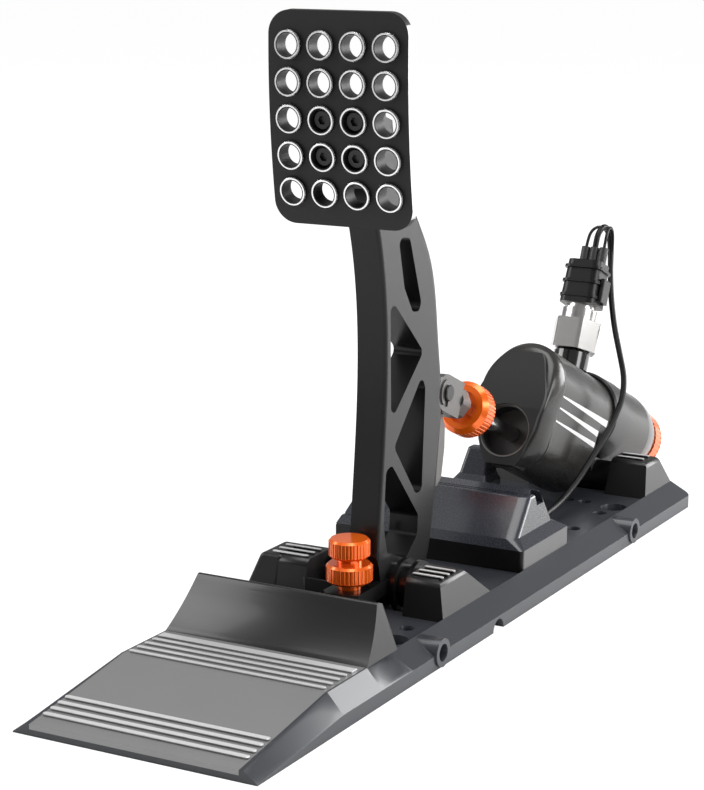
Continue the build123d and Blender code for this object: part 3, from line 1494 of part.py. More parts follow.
inner_start = socket_start + socket_ledge_inset
inner_end = socket_end - socket_ledge_inset / 2
with BuildPart() as socket_cover:
    lower_outline = level_outline(box_top, box_left, socket_right, socket_start, socket_end, box_corner)
    ledge_outline = level_outline(
        ledge_height, box_left + socket_ledge_inset, socket_right - socket_ledge_inset / 2,
        inner_start, inner_end, box_corner)
    loft([lower_outline, ledge_outline], ruled=True)
    loft([
        ledge_outline,
        level_outline(
            socket_top_height, box_left + socket_ledge_inset + socket_top_inset,
            socket_right - socket_ledge_inset / 2 - socket_top_inset / 2, inner_start + socket_front_inset,
            inner_end - socket_top_inset / 2, box_corner),
    ], ruled=True)
    fillet(socket_cover.faces().sort_by(Axis.Z)[-1].edges(), lid_top_round)
save(socket_cover, "socket_cover")
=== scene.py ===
import json
from math import atan2, cos, pi, radians, sin, sqrt

import bmesh
import bpy
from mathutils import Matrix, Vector


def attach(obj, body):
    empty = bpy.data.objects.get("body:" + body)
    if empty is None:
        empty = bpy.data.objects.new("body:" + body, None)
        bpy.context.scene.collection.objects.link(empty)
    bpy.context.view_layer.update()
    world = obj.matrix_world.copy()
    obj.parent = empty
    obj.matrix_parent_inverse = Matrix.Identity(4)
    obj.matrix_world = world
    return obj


# A hydraulic brake pedal for a sim racing rig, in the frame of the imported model.
# +X is the driver's right, +Y the rear and +Z up. The camera, the lights and the floor are in metres,
# all other lengths in millimetres. A run is a distance from the front edge of the base.

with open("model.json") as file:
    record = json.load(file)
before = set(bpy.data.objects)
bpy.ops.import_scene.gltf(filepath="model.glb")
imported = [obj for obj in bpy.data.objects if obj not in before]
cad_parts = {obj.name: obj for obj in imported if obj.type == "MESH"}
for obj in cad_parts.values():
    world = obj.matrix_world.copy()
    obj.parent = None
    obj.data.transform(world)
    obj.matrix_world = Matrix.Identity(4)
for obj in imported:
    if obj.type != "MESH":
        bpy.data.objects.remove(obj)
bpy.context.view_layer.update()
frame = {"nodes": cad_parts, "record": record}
nodes = frame["nodes"]

MM = 0.001
FRONT_EDGE = -213.5
RIGHT = Vector((1, 0, 0))
UP = Vector((0, 0, 1))

# Axis of the cylinder's bore, which slopes down to the rear
BORE_CENTRE = Vector((0, 102.6, 57.0))
AXIS_SLOPE = radians(24.1)
AXIS = Vector((0, cos(AXIS_SLOPE), -sin(AXIS_SLOPE)))
AXIS_UP = Vector((0, sin(AXIS_SLOPE), cos(AXIS_SLOPE)))


def along(place, up, across):
    """A point at a place along the bore's axis, square to it by up and to the side by across."""
    return BORE_CENTRE + AXIS * place + AXIS_UP * up + RIGHT * across


def at_run(run, height, across=0.0):
    """A point at a run and a height above the floor."""
    return Vector((across, FRONT_EDGE + run, height))


# Camera and stage

CAMERA_LENS = 101.31
CAMERA_SENSOR = 36.0
CAMERA_NEAR = 0.01
CAMERA_FAR = 50.0
CAMERA_PLACE = (0.44203, -0.84029, 0.30543)
CAMERA_BACKWARD = Vector((0.4757, -0.8524, 0.2171))
WHITE = (1, 1, 1, 1)
BACKDROP_STRENGTH = 1.0
SOFT_STRENGTH = 0.34
FLOOR_REACH = 6.0
FLOOR_COLOUR = (0.85, 0.85, 0.85, 1)
FLOOR_GLOW = 1.16
FLOOR_GLOW_SHARE = 0.80
LIGHT_TARGET = Vector((0, 0, 0.1))

# Name, place, side length and power of each light
LIGHTS = (
    ("top", (0.0, 0.1, 1.6), 1.2, 24.0),
    ("left", (-1.3, -0.6, 0.9), 0.9, 16.0),
    ("right", (1.5, 0.1, 0.8), 0.9, 20.0),
    ("back", (0.9, 1.3, 0.5), 0.8, 26.0),
)


def make_camera():
    """The camera of the photograph."""
    data = bpy.data.cameras.new("camera")
    data.lens = CAMERA_LENS
    data.sensor_width = CAMERA_SENSOR
    data.clip_start = CAMERA_NEAR
    data.clip_end = CAMERA_FAR
    camera = bpy.data.objects.new("camera", data)
    camera.location = CAMERA_PLACE
    camera.rotation_mode = "QUATERNION"
    camera.rotation_quaternion = CAMERA_BACKWARD.to_track_quat("Z", "Y")
    bpy.context.scene.collection.objects.link(camera)
    bpy.context.scene.camera = camera


def node(tree, kind, **values):
    """A shader node with some of its settings and inputs given."""
    made = tree.nodes.new(kind)
    for key, value in values.items():
        if hasattr(made, key):
            setattr(made, key, value)
        else:
            made.inputs[key.replace("_", " ")].default_value = value
    return made


def link(tree, source, target):
    """Join an output of one shader node to an input of another."""
    tree.links.new(source, target)


def seen_white(tree):
    """1 for rays that see the backdrop by eye or through glass, and 0 for reflections and light."""
    path = node(tree, "ShaderNodeLightPath")
    seen = node(tree, "ShaderNodeMath", operation="MAXIMUM")
    link(tree, path.outputs["Is Camera Ray"], seen.inputs[0])
    link(tree, path.outputs["Is Transmission Ray"], seen.inputs[1])
    return seen.outputs[0]


def make_world():
    """A white backdrop to the eye that lights the pedal softly."""
    world = bpy.data.worlds.new("world")
    bpy.context.scene.world = world
    world.use_nodes = True
    tree = world.node_tree
    tree.nodes.clear()
    white = node(tree, "ShaderNodeBackground", Color=WHITE, Strength=BACKDROP_STRENGTH)
    soft = node(tree, "ShaderNodeBackground", Color=WHITE, Strength=SOFT_STRENGTH)
    mix = node(tree, "ShaderNodeMixShader")
    out = node(tree, "ShaderNodeOutputWorld")
    link(tree, seen_white(tree), mix.inputs[0])
    link(tree, soft.outputs[0], mix.inputs[1])
    link(tree, white.outputs[0], mix.inputs[2])
    link(tree, mix.outputs[0], out.inputs[0])


def make_floor():
    """A pale floor that reads as white to the eye and keeps a faint shadow."""
    mesh = bpy.data.meshes.new("floor")
    corners = [(x * FLOOR_REACH, y * FLOOR_REACH, 0) for x, y in ((-1, -1), (1, -1), (1, 1), (-1, 1))]
    mesh.from_pydata(corners, [], [(0, 1, 2, 3)])
    floor = bpy.data.objects.new("floor", mesh)
    bpy.context.scene.collection.objects.link(floor)
    material = bpy.data.materials.new("floor")
    material.use_nodes = True
    tree = material.node_tree
    tree.nodes.clear()
    diffuse = node(tree, "ShaderNodeBsdfDiffuse", Color=FLOOR_COLOUR)
    glow = node(tree, "ShaderNodeEmission", Color=WHITE, Strength=FLOOR_GLOW)
    pale = node(tree, "ShaderNodeMixShader", Fac=FLOOR_GLOW_SHARE)
    mix = node(tree, "ShaderNodeMixShader")
    out = node(tree, "ShaderNodeOutputMaterial")
    link(tree, diffuse.outputs[0], pale.inputs[1])
    link(tree, glow.outputs[0], pale.inputs[2])
    link(tree, seen_white(tree), mix.inputs[0])
    link(tree, diffuse.outputs[0], mix.inputs[1])
    link(tree, pale.outputs[0], mix.inputs[2])
    link(tree, mix.outputs[0], out.inputs[0])
    mesh.materials.append(material)


def area_light(name, place, size, power):
    """A square soft light that faces the pedal."""
    data = bpy.data.lights.new(name, "AREA")
    data.size = size
    data.energy = power
    light = bpy.data.objects.new(name, data)
    light.location = place
    light.rotation_euler = (Vector(place) - LIGHT_TARGET).to_track_quat("Z", "Y").to_euler()
    bpy.context.scene.collection.objects.link(light)


bpy.context.scene.view_settings.view_transform = "Standard"
make_camera()
make_world()
make_floor()
for light_values in LIGHTS:
    area_light(*light_values)

# Materials

COAT_ROUGHNESS = 0.12
FINE_NOISE = {"Detail": 3.0, "Roughness": 0.6}
BROAD_NOISE = {"Scale": 28.0, "Detail": 4.0, "Roughness": 0.55}
SMOOTHEST_SHARE = 0.9
ROUGHEST_SHARE = 1.12
RELIEF_METRES = 0.0001

# How far a normal must lean sideways for the painted light on the sides to start, and to be full
SIDEWAYS_START = 0.80
SIDEWAYS_FULL = 0.95

# Sockets of the colour mix node
MIX_FIRST = 6
MIX_SECOND = 7
MIX_RESULT = 2


def lit_side_mask(tree, place, beyond):
    """1 on faces that look sideways and lie further than a distance from the mid plane: where light is
    painted on the sides.
    """
    geometry = node(tree, "ShaderNodeNewGeometry")
    normal = node(tree, "ShaderNodeSeparateXYZ")
    link(tree, geometry.outputs["Normal"], normal.inputs[0])
    sideways = node(tree, "ShaderNodeMath", operation="ABSOLUTE")
    link(tree, normal.outputs["X"], sideways.inputs[0])
    step = node(tree, "ShaderNodeMapRange", From_Min=SIDEWAYS_START, From_Max=SIDEWAYS_FULL)
    link(tree, sideways.outputs[0], step.inputs["Value"])
    spread = node(tree, "ShaderNodeSeparateXYZ")
    link(tree, place, spread.inputs[0])
    distance = node(tree, "ShaderNodeMath", operation="ABSOLUTE")
    link(tree, spread.outputs["X"], distance.inputs[0])
    outside = node(tree, "ShaderNodeMath", operation="GREATER_THAN")
    outside.inputs[1].default_value = beyond * MM
    link(tree, distance.outputs[0], outside.inputs[0])
    chosen = node(tree, "ShaderNodeMath", operation="MULTIPLY")
    link(tree, step.outputs[0], chosen.inputs[0])
    link(tree, outside.outputs[0], chosen.inputs[1])
    return chosen.outputs[0]


def surface(name, colour, roughness, metallic=0.0, grain=1500.0, bump=0.04, mottle=0.05, stretch=(1, 1, 1),
            coat=0.0, specular=0.5, sides=None, beyond=0.0):
    """A finish with fine grain and slight changes of tone.

    Faces that look sideways, where they lie beyond a distance from the mid plane, can take a lighter colour:
    painted light for the lamps that fall on the sides.
    """
    material = bpy.data.materials.new(name)
    material.use_nodes = True
    tree = material.node_tree
    shader = tree.nodes["Principled BSDF"]
    shader.inputs["Base Color"].default_value = (*colour, 1)
    shader.inputs["Metallic"].default_value = metallic
    shader.inputs["Coat Weight"].default_value = coat
    shader.inputs["Coat Roughness"].default_value = COAT_ROUGHNESS
    shader.inputs["Specular IOR Level"].default_value = specular
    place = node(tree, "ShaderNodeTexCoord").outputs["Object"]
    mapping = node(tree, "ShaderNodeMapping", Scale=stretch)
    link(tree, place, mapping.inputs["Vector"])
    fine = node(tree, "ShaderNodeTexNoise", Scale=grain, **FINE_NOISE)
    broad = node(tree, "ShaderNodeTexNoise", **BROAD_NOISE)
    link(tree, mapping.outputs[0], fine.inputs["Vector"])
    link(tree, place, broad.inputs["Vector"])
    tone = node(tree, "ShaderNodeMapRange", To_Min=1.0 - mottle, To_Max=1.0 + mottle)
    link(tree, broad.outputs["Fac"], tone.inputs["Value"])
    tint = node(tree, "ShaderNodeVectorMath", operation="SCALE")
    tint.inputs[0].default_value = colour
    link(tree, tone.outputs[0], tint.inputs["Scale"])
    # Painted light: the lighter colour of the sides is mixed in on the side faces
    if sides:
        lit_side_blend = node(tree, "ShaderNodeMix", data_type="RGBA")
        lit_side_blend.inputs[MIX_SECOND].default_value = (*sides, 1)
        link(tree, lit_side_mask(tree, place, beyond), lit_side_blend.inputs[0])
        link(tree, tint.outputs[0], lit_side_blend.inputs[MIX_FIRST])
        link(tree, lit_side_blend.outputs[MIX_RESULT], shader.inputs["Base Color"])
    else:
        link(tree, tint.outputs[0], shader.inputs["Base Color"])
    gloss = node(tree, "ShaderNodeMapRange", To_Min=roughness * SMOOTHEST_SHARE,
                 To_Max=min(1.0, roughness * ROUGHEST_SHARE))
    link(tree, fine.outputs["Fac"], gloss.inputs["Value"])
    link(tree, gloss.outputs[0], shader.inputs["Roughness"])
    relief = node(tree, "ShaderNodeBump", Strength=bump, Distance=RELIEF_METRES)
    link(tree, fine.outputs["Fac"], relief.inputs["Height"])
    link(tree, relief.outputs[0], shader.inputs["Normal"])
    return material


def grey(value, warm=0.0):
    """A grey with a slight warm cast where asked."""
    return (value * (1 + warm), value, value * (1 - warm))


# One finish for each material slot of the record
looks = {
    "cast_base": surface("base_slate", (0.022, 0.024, 0.029), 0.34, coat=0.08, specular=0.4),
    "heel_tread": surface("heel_tread", grey(0.20), 0.36, metallic=0.45),
    "heel_stop": surface("heel_stop", grey(0.009), 0.32, grain=600.0, bump=0.10, stretch=(0.03, 1, 1),
                         coat=0.10, specular=0.3),
    # Painted light: the side faces of the castings are lighter grey, as if lit from the side
    "black_casting": surface("black_casting", grey(0.007), 0.34, coat=0.05, specular=0.3, sides=grey(0.030)),
    # Painted light: the side faces of the arm are lighter, for the light from the right and the back
    "arm_black": surface("arm_black", grey(0.004), 0.30, grain=700.0, stretch=(1, 1, 0.03), bump=0.08,
                         coat=0.04, specular=0.22, sides=grey(0.016)),
    # The pad's outer side faces are light grey: partly its bright cut edge, partly a painted highlight
    "pad_charcoal": surface("pad_charcoal", grey(0.011), 0.50, grain=2200.0, bump=0.14, specular=0.25,
                            sides=grey(0.55), beyond=31.0),
    "orange": surface("orange", (0.82, 0.125, 0.004), 0.22, metallic=0.50, bump=0.0, mottle=0.02, coat=0.35),
    "steel": surface("steel", grey(0.10, 0.03), 0.34, metallic=0.60),
    "bright_steel": surface("bright_steel", grey(0.80), 0.14, metallic=1.0, bump=0.01),
    "screw_steel": surface("screw_steel", grey(0.030), 0.34, metallic=0.7),
    "bush_brass": surface("bush_brass", (0.60, 0.40, 0.15), 0.35, metallic=1.0),
    "cover_charcoal": surface("cover_charcoal", grey(0.010), 0.60, grain=2000.0, bump=0.20, specular=0.22),
    "cylinder_black": surface("cylinder_black", grey(0.014, 0.08), 0.28, metallic=0.10, coat=0.12,
                              specular=0.35),
    "inner_metal": surface("inner_metal", grey(0.55), 0.35, metallic=1.0),
    "seal_rubber": surface("seal_rubber", grey(0.010), 0.50),
    "port_black": surface("port_black", grey(0.006), 0.14, coat=0.5),
    "nickel": surface("nickel", grey(0.50, 0.02), 0.22, metallic=1.0),
    "plug_black": surface("plug_black", grey(0.005), 0.34, bump=0.08, specular=0.25),
    "lead_black": surface("lead_black", grey(0.003), 0.40, specular=0.15),
    # Painted light: the end faces of the lid are lighter
    "lid_blue_grey": surface("lid_blue_grey", (0.015, 0.017, 0.023), 0.27, coat=0.15, bump=0.01, specular=0.4,
                             sides=(0.030, 0.032, 0.036)),
    # Painted light: the side faces of the box are light grey
    "box_black": surface("box_black", grey(0.006), 0.38, specular=0.25, sides=grey(0.10)),
    "board_green": surface("board_green", (0.03, 0.14, 0.06), 0.40),
}

# Finishes of the pieces that are added here
machined = surface("machined_edge", grey(0.80), 0.26, metallic=0.8, bump=0.02)
stripe_silver = surface("stripe_silver", grey(0.62), 0.34, metallic=0.4)
# Painted highlight: a bright finish for the caps on ribs and ridges, where light catches their tops
rib_highlight = surface("rib_highlight", grey(0.62), 0.30, metallic=0.5, bump=0.02)

slot_of = {entry["node"]: entry["material_slot"] for entry in frame["record"]["subparts"]}
slot_of["clevis_pin"] = "screw_steel"
for name, cad_object in nodes.items():
    cad_object.data.materials.clear()
    cad_object.data.materials.append(looks[slot_of[name]])

# Softened edges on the castings and the boxes

EDGE_WIDTHS = {
    "front_pillar_right": 1.0,
    "front_pillar_left": 0.5,
    "rear_pillar_right": 1.0,
    "rear_pillar_left": 1.0,
    "housing_box": 0.4,
    "base_frame": 0.4,
    "heel_stop": 0.6,
    "clevis": 0.3,
    "clevis_tongue": 0.4,
}
WELD_DISTANCE = 0.002
CAD_EDGE_SEGMENTS = 2
CAD_EDGE_ANGLE = radians(32)
HULL_EDGE_SEGMENTS = 4
HULL_EDGE_ANGLE = radians(15)


def soften(piece, width, segments, angle):
    """Round the edges of a piece that turn by more than an angle."""
    bevel = piece.modifiers.new("soften", "BEVEL")
    bevel.width = width * MM
    bevel.segments = segments
    bevel.limit_method = "ANGLE"
    bevel.angle_limit = angle
    return bevel


for name, width in EDGE_WIDTHS.items():
    weld = nodes[name].modifiers.new("weld", "WELD")
    weld.merge_threshold = WELD_DISTANCE * MM
    bevel = soften(nodes[name], width, CAD_EDGE_SEGMENTS, CAD_EDGE_ANGLE)
    bevel.harden_normals = True

# Helpers for the pieces that are added to the solids

ARC_STEPS = 8

# Height above a rib and inset of each loop of its cap, from the rib up
CAP_LOOPS = ((-0.30, -0.03), (-0.02, -0.03), (0.05, 0.22))


def add_piece(name, data, material, body):
    """An object with a material that moves with a body."""
    data.materials.append(material)
    piece = bpy.data.objects.new(name, data)
    bpy.context.scene.collection.objects.link(piece)
    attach(piece, body)
    return piece


def add_mesh(name, points, faces, material, body):
    """A mesh from points in millimetres that moves with a body."""
    mesh = bpy.data.meshes.new(name)
    mesh.from_pydata([point * MM for point in points], [], faces)
    mesh.validate()
    return add_piece(name, mesh, material, body)


def ring_stack(points, faces, loops):
    """Add a closed skin over loops of as many points each, with a flat end at both sides."""
    first = len(points)
    count = len(loops[0])
    for loop in loops:
        points.extend(loop)
    for level in range(len(loops) - 1):
        for index in range(count):
            following = (index + 1) % count
            low = first + level * count
            faces.append((low + index, low + following, low + count + following, low + count + index))
    faces.append(tuple(first + index for index in reversed(range(count))))
    faces.append(tuple(first + (len(loops) - 1) * count + index for index in range(count)))


def bar_loop(centre, run_direction, width_direction, length, width, round_ends):
    """Outline of a bar, with rounded ends where asked."""
    half = length / 2
    if not round_ends:
        corners = ((half, -width / 2), (half, width / 2), (-half, width / 2), (-half, -width / 2))
        return [centre + run_direction * a + width_direction * b for a, b in corners]
    loop = []
    for hand, start in ((1, -pi / 2), (-1, pi / 2)):
        for step in range(ARC_STEPS + 1):
            angle = start + step * pi / ARC_STEPS
            loop.append(centre + run_direction * (hand * (half - width / 2) + width / 2 * cos(angle))
                        + width_direction * (width / 2 * sin(angle)))
    return loop


def raised_bar(points, faces, centre, normal, length, width, round_ends=True):
    """A thin bright cap with softened edges on top of a rib that runs from side to side: a painted highlight.
    """
    across = normal.cross(RIGHT)
    loops = [bar_loop(centre + normal * height, RIGHT, across, length - 2 * inset, width - 2 * inset,
                      round_ends) for height, inset in CAP_LOOPS]
    ring_stack(points, faces, loops)


# Painted highlights: bright caps on the ribs of the heel plate, on its slope and on its level part

NOSE_HEIGHT = 4.6
HEEL_HEIGHT = 14.0
SLOPE_RUN = 62.0
RIB_HEIGHT = 0.8
RIB_WIDTH = 2.1
SLOPE_RIB_COUNT = 4
SLOPE_RIB_FIRST = 8.5
SLOPE_RIB_PITCH = 4.75
SLOPE_RIB_REACH = 91.4
LEVEL_RIB_COUNT = 4
LEVEL_RIB_FIRST = 64.4
LEVEL_RIB_PITCH = 5.4
LEVEL_RIB_REACH = 90.0
LAST_RIB_RUN = 86.6
LAST_RIB_WIDTH = 4.2


def make_heel_rib_highlights():
    angle = atan2(HEEL_HEIGHT - NOSE_HEIGHT, SLOPE_RUN)
    slope_way = Vector((0, cos(angle), sin(angle)))
    slope_normal = Vector((0, -sin(angle), cos(angle)))
    rib_top = HEEL_HEIGHT + RIB_HEIGHT
    points, faces = [], []
    for index in range(SLOPE_RIB_COUNT):
        way = SLOPE_RIB_FIRST + index * SLOPE_RIB_PITCH
        centre = at_run(0.0, NOSE_HEIGHT) + slope_way * way + slope_normal * RIB_HEIGHT
        raised_bar(points, faces, centre, slope_normal, SLOPE_RIB_REACH, RIB_WIDTH)
    for index in range(LEVEL_RIB_COUNT):
        centre = at_run(LEVEL_RIB_FIRST + index * LEVEL_RIB_PITCH, rib_top)
        raised_bar(points, faces, centre, UP, LEVEL_RIB_REACH, RIB_WIDTH)
    raised_bar(points, faces, at_run(LAST_RIB_RUN, rib_top), UP, LEVEL_RIB_REACH, LAST_RIB_WIDTH,
               round_ends=False)
    add_mesh("heel_rib_highlights", points, faces, rib_highlight, "base")


make_heel_rib_highlights()

# Painted highlights: bright caps on the ridges of the pillars

RIDGE_HEIGHT = 28.3
RIDGE_WIDTH = 1.7
RIDGE_REACH = 14.5
FRONT_LEFT_RIDGE_REACH = 18.0
FRONT_RIDGE_START = 25.5
FRONT_RIDGE_RUNS = (172.4, 177.9, 183.4)
REAR_RIDGE_SIDE = 29.85
REAR_RIDGE_RUNS = (403.6, 410.6)


def make_pillar_ridge_highlights():
    points, faces = [], []
    for hand, front_reach in ((-1, FRONT_LEFT_RIDGE_REACH), (1, RIDGE_REACH)):
        for run in FRONT_RIDGE_RUNS:
            centre = at_run(run, RIDGE_HEIGHT, hand * (FRONT_RIDGE_START + front_reach / 2))
            raised_bar(points, faces, centre, UP, front_reach, RIDGE_WIDTH)
        for run in REAR_RIDGE_RUNS:
            centre = at_run(run, RIDGE_HEIGHT, hand * REAR_RIDGE_SIDE)
            raised_bar(points, faces, centre, UP, RIDGE_REACH, RIDGE_WIDTH)
    add_mesh("pillar_ridge_highlights", points, faces, rib_highlight, "base")


make_pillar_ridge_highlights()

# Bright machined rims round the holes of the pad

PAD_CENTRE = Vector((0, -59.6, 218.8))
PAD_TILT = radians(3.6)
PAD_BOW = 410.0
PAD_IN = Vector((0, cos(PAD_TILT), sin(PAD_TILT)))
PAD_RISE = Vector((0, -sin(PAD_TILT), cos(PAD_TILT)))
PAD_FACE = -1.75
HOLE_PITCH = 15.0
HOLE_ROWS = 5
HOLE_COLUMNS = 4
RIM_STEPS = 40

# Radius, and height over the pad's face, of the corners of a rim's section
RIM_PROFILE = ((5.05, -0.5), (5.15, 0.03), (5.30, 0.06), (5.75, 0.06), (6.03, -0.20), (6.03, -0.60))


def on_pad(rise, inward):
    """A point of the bowed pad's middle line and the direction that faces the driver there."""
    angle = rise / PAD_BOW
    centre = (PAD_CENTRE + PAD_IN * (PAD_BOW - (PAD_BOW - inward) * cos(angle))
              + PAD_RISE * ((PAD_BOW - inward) * sin(angle)))
    return centre, PAD_RISE * sin(angle) - PAD_IN * cos(angle)


def rim(points, faces, centre, normal):
    """A rim round a hole about a normal."""
    first = len(points)
    upright = normal.cross(RIGHT)
    for index in range(RIM_STEPS):
        angle = 2 * pi * index / RIM_STEPS
        outward = RIGHT * cos(angle) + upright * sin(angle)
        for radius, height in RIM_PROFILE:
            points.append(centre + outward * radius + normal * height)
    size = len(RIM_PROFILE)
    for index in range(RIM_STEPS):
        here = first + index * size
        there = first + (index + 1) % RIM_STEPS * size
        for step in range(size):
            after = (step + 1) % size
            faces.append((here + step, there + step, there + after, here + after))


def make_pad_rims():
    points, faces = [], []
    for row in range(HOLE_ROWS):
        centre, normal = on_pad((row - (HOLE_ROWS - 1) / 2) * HOLE_PITCH, PAD_FACE)
        for column in range(HOLE_COLUMNS):
            side = (column - (HOLE_COLUMNS - 1) / 2) * HOLE_PITCH
            rim(points, faces, centre + RIGHT * side, normal)
    add_mesh("pad_rims", points, faces, machined, "arm")


make_pad_rims()

# Left ends of the front pillar and of the electronics housing, which reach out over the flank.
# Each level gives its height, its outer and inner side, and its first and last run.

PILLAR_END = (
    (27.38, -48.0, -37.0, 169.0, 190.0),
    (12.0, -54.0, -38.0, 166.0, 211.0),
    (7.0, -54.0, -40.0, 166.0, 211.6),
)
HOUSING_BOX_END = (
    (20.55, -54.0, -41.0, 245.8, 296.4),
    (7.0, -54.0, -41.0, 245.8, 296.4),
)
HOUSING_LEDGE_END = (
    (20.6, -54.0, -36.0, 245.8, 296.4),
    (24.35, -52.5, -36.0, 249.2, 291.8),
)
HOUSING_LID_END = (
    (24.0, -52.5, -31.0, 249.2, 291.8),
    (38.55, -50.5, -30.0, 270.2, 287.2),
)
PILLAR_END_EDGE = 1.6
HOUSING_BOX_EDGE = 0.8
HOUSING_LEDGE_EDGE = 0.5
HOUSING_LID_EDGE = 1.6
FLAT_ANGLE = radians(1)


def rounded_hull(name, levels, material, width):
    """The convex solid round some levels of the base, with rounded edges of this width."""
    mesh = bpy.data.meshes.new(name)
    build = bmesh.new()
    for height, outer, inner, first_run, last_run in levels:
        for across in (outer, inner):
            for run in (first_run, last_run):
                build.verts.new(at_run(run, height, across) * MM)
    bmesh.ops.convex_hull(build, input=build.verts)
    bmesh.ops.dissolve_limit(build, angle_limit=FLAT_ANGLE, verts=build.verts, edges=build.edges)
    bmesh.ops.recalc_face_normals(build, faces=build.faces)
    build.to_mesh(mesh)
    build.free()
    soften(add_piece(name, mesh, material, "base"), width, HULL_EDGE_SEGMENTS, HULL_EDGE_ANGLE)


rounded_hull("front_pillar_left_end", PILLAR_END, looks["black_casting"], PILLAR_END_EDGE)
rounded_hull("housing_left_box", HOUSING_BOX_END, looks["box_black"], HOUSING_BOX_EDGE)
rounded_hull("housing_left_ledge", HOUSING_LEDGE_END, looks["lid_blue_grey"], HOUSING_LEDGE_EDGE)
rounded_hull("housing_left_lid", HOUSING_LID_END, looks["lid_blue_grey"], HOUSING_LID_EDGE)

# Stripes along the right side of the cylinder. The body's section is a round crown over a narrower bore.

CROWN_HEIGHT = 27.0
CROWN_RADIUS = 20.0
BORE_BODY_RADIUS = 17.0
SIDE_AT_AXIS = 17.1
SIDE_WIDENING = 3.0

# Tip, and the lower and upper corner of the broad end, as places along the axis and heights square to it
STRIPES = (
    ((3.5, 22.7), (78.3, 20.6), (76.8, 24.0)),
    ((5.1, 17.1), (69.6, 14.0), (69.6, 16.9)),
    ((2.6, 10.5), (69.6, 8.2), (69.6, 10.8)),
)

# The stripes show from where the front cover ends
STRIPE_START = 14.8
STRIPE_STEPS = 12
STRIPE_TIP_HEIGHT = 0.25
STRIPE_SUNK = -0.3
STRIPE_PROUD = 0.06


def body_side(up):
    """How far the cylinder's side stands out at a height square to its axis."""
    if up > CROWN_HEIGHT:
        return sqrt(max(0.0, CROWN_RADIUS**2 - (up - CROWN_HEIGHT)**2))
    return SIDE_AT_AXIS + SIDE_WIDENING * up / CROWN_HEIGHT


def stripe_loop(place, bottom, top):
    """Section of a stripe at a place along the cylinder."""
    corners = ((bottom, STRIPE_SUNK), (bottom, STRIPE_PROUD), (top, STRIPE_PROUD), (top, STRIPE_SUNK))
    return [along(place, up, body_side(up) + proud) for up, proud in corners]


def make_stripes():
    points, faces = [], []
    for (tip_place, tip_up), (low_place, low_up), (high_place, high_up) in STRIPES:
        length = (low_place + high_place) / 2 - tip_place
        tip_top = tip_up + STRIPE_TIP_HEIGHT
        start_share = (STRIPE_START - tip_place) / length
        loops = []
        for index in range(STRIPE_STEPS + 1):
            share = start_share + (1 - start_share) * index / STRIPE_STEPS
            loops.append(stripe_loop(tip_place + length * share, tip_up + (low_up - tip_up) * share,
                                     tip_top + (high_up - tip_top) * share))
        ring_stack(points, faces, loops)
    add_mesh("cylinder_stripes", points, faces, stripe_silver, "cylinder")


make_stripes()

# Curved front end of the cylinder, from just behind the rim of the cover to the full body

COVER_WIDTH = 17.2
COVER_TOP = 41.0

# Right half of the cover, as shares of its half width and of its top's height over the axis
COVER_OUTLINE_SHARES = (
    (0.0, 1.0), (0.49, 1.0), (0.64, 0.905), (0.76, 0.78), (0.90, 0.63), (1.0, 0.49), (1.0, 0.32),
    (0.93, 0.195), (0.87, 0.05), (0.73, -0.12), (0.64, -0.245), (0.47, -0.365), (0.42, -0.4024),
    (0.0, -0.4024),
)

# Height over the axis and place of the cover's curved face, as shares of its top's height
COVER_CURVE_SHARES = (
    (-0.4024, 0.0), (0.29, -0.05), (0.39, -0.036), (0.51, -0.009), (0.73, 0.061), (1.0, 0.166),
)

# The shell's points lie on rays from the hub, a point on the mid plane this high over the axis
HUB = 13.0
SHELL_STEPS = 96
SHELL_SETBACK = 2.6
SHELL_FLARE_START = 1.5
SHELL_FULL_PLACE = 14.6
SHELL_END_PLACE = 16.0
SHELL_OVER_COVER = 0.15
SHELL_FLARE_PROUD = 0.3
SHELL_PROUD = 0.06
SHELL_SUNK = 1.0
ARC_STEP_DEGREES = 6
CROWN_END_DEGREE = 96
BOTTOM_DEGREE = 180
PARALLEL = 1e-9
SLACK = 1e-6


def front_place(up):
    """Place of the cover's curved face at a height square to the axis."""
    share = up / COVER_TOP
    for (low, first), (high, second) in zip(COVER_CURVE_SHARES, COVER_CURVE_SHARES[1:]):
        if share <= high:
            return (first + (second - first) * max(0.0, share - low) / (high - low)) * COVER_TOP
    return COVER_CURVE_SHARES[-1][1] * COVER_TOP


def reach_of(outline, across, up):
    """How far an outline lies from the hub in a direction."""
    best = 0.0
    for (x0, z0), (x1, z1) in zip(outline, outline[1:]):
        width, rise = x1 - x0, z1 - z0
        turn = across * rise - up * width
        if abs(turn) > PARALLEL:
            share = (up * x0 - across * (z0 - HUB)) / turn
            if -SLACK <= share <= 1 + SLACK:
                reach = (x0 + width * share) * across + (z0 + rise * share - HUB) * up
                best = max(best, reach)
    return best


def arc_points(radius, height, first_degree, last_degree):
    """Points of an arc about the mid plane, from the top down the right side."""
    angles = [radians(degree) for degree in range(first_degree, last_degree + 1, ARC_STEP_DEGREES)]
    return [(radius * sin(angle), height + radius * cos(angle)) for angle in angles]


def shell_profile(inner, outer, start):
    """Places and reaches of one ray of the shell, from the cover's rim to the full body."""
    return (
        (start, inner - SHELL_SUNK),
        (start, inner + SHELL_OVER_COVER),
        (start + SHELL_FLARE_START, (inner + outer) / 2 + SHELL_FLARE_PROUD),
        (SHELL_FULL_PLACE, outer + SHELL_PROUD),
        (SHELL_END_PLACE, outer + SHELL_PROUD),
        (SHELL_END_PLACE, outer - SHELL_SUNK),
    )


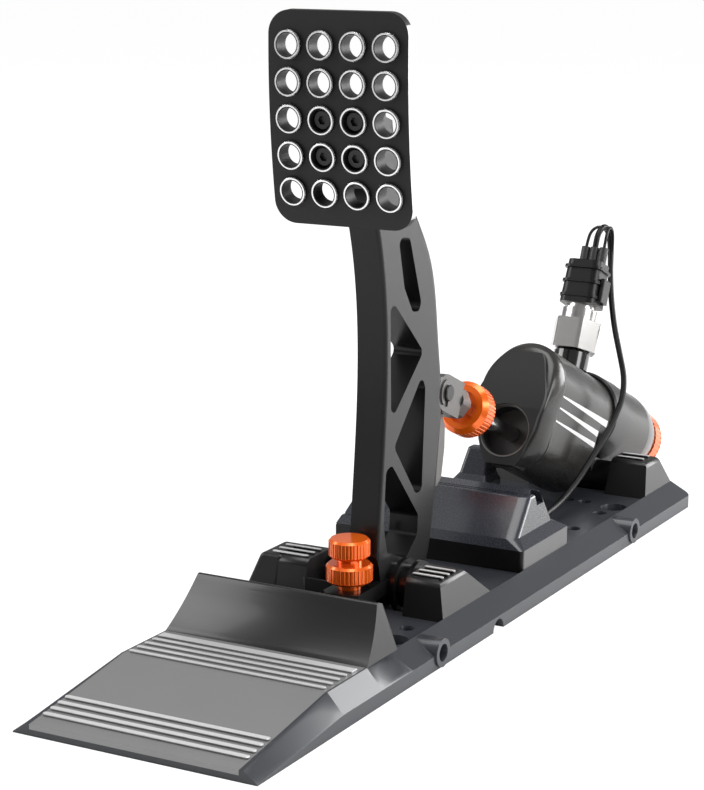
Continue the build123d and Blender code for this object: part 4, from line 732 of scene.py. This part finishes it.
def make_front_shell():
    cover_outline = [(x * COVER_WIDTH, z * COVER_TOP) for x, z in COVER_OUTLINE_SHARES]
    body_outline = (arc_points(CROWN_RADIUS, CROWN_HEIGHT, 0, CROWN_END_DEGREE)
                    + arc_points(BORE_BODY_RADIUS, 0.0, CROWN_END_DEGREE, BOTTOM_DEGREE))
    points, faces = [], []
    for index in range(SHELL_STEPS):
        angle = 2 * pi * index / SHELL_STEPS
        across, up = sin(angle), cos(angle)
        inner = reach_of(cover_outline, abs(across), up)
        outer = reach_of(body_outline, abs(across), up)
        start = front_place(HUB + inner * up) + SHELL_SETBACK
        profile = shell_profile(inner, outer, start)
        for place, reach in profile:
            points.append(along(max(place, start), HUB + reach * up, reach * across))
    size = len(profile)
    for index in range(SHELL_STEPS):
        here = index * size
        there = (index + 1) % SHELL_STEPS * size
        for step in range(size):
            after = (step + 1) % size
            faces.append((here + step, here + after, there + after, there + step))
    shell = add_mesh("cylinder_front_shell", points, faces, looks["cylinder_black"], "cylinder")
    for polygon in shell.data.polygons:
        polygon.use_smooth = True


make_front_shell()

# Thin wires that leave the outer tubes of the plug and join the lead

WIRE_RADIUS = 0.8
WIRE_BEVEL_RESOLUTION = 3
WIRE_CURVE_RESOLUTION = 8
WIRE_ORDER = 3

# Spread to either side, shift to the right, and Y and Z of the points of both wires
WIRE_ROUTE = (
    (4.9, 0.0, 207.6, 130.2), (4.9, 0.0, 209.6, 134.6), (4.4, 0.0, 213.0, 139.4), (3.0, 0.0, 220.0, 141.0),
    (1.6, 0.4, 226.2, 138.0), (0.9, 1.0, 226.8, 129.5), (0.6, 2.6, 222.4, 119.6),
)


def make_wire(name, hand):
    """The wire on one side."""
    data = bpy.data.curves.new(name, "CURVE")
    data.dimensions = "3D"
    data.bevel_depth = WIRE_RADIUS * MM
    data.bevel_resolution = WIRE_BEVEL_RESOLUTION
    data.resolution_u = WIRE_CURVE_RESOLUTION
    spline = data.splines.new("NURBS")
    spline.points.add(len(WIRE_ROUTE) - 1)
    for target, (spread, shift, rearward, height) in zip(spline.points, WIRE_ROUTE):
        target.co = ((hand * spread + shift) * MM, rearward * MM, height * MM, 1)
    spline.order_u = WIRE_ORDER
    spline.use_endpoint_u = True
    add_piece(name, data, looks["lead_black"], "cylinder")


make_wire("sensor_wire_left", -1)
make_wire("sensor_wire_right", 1)
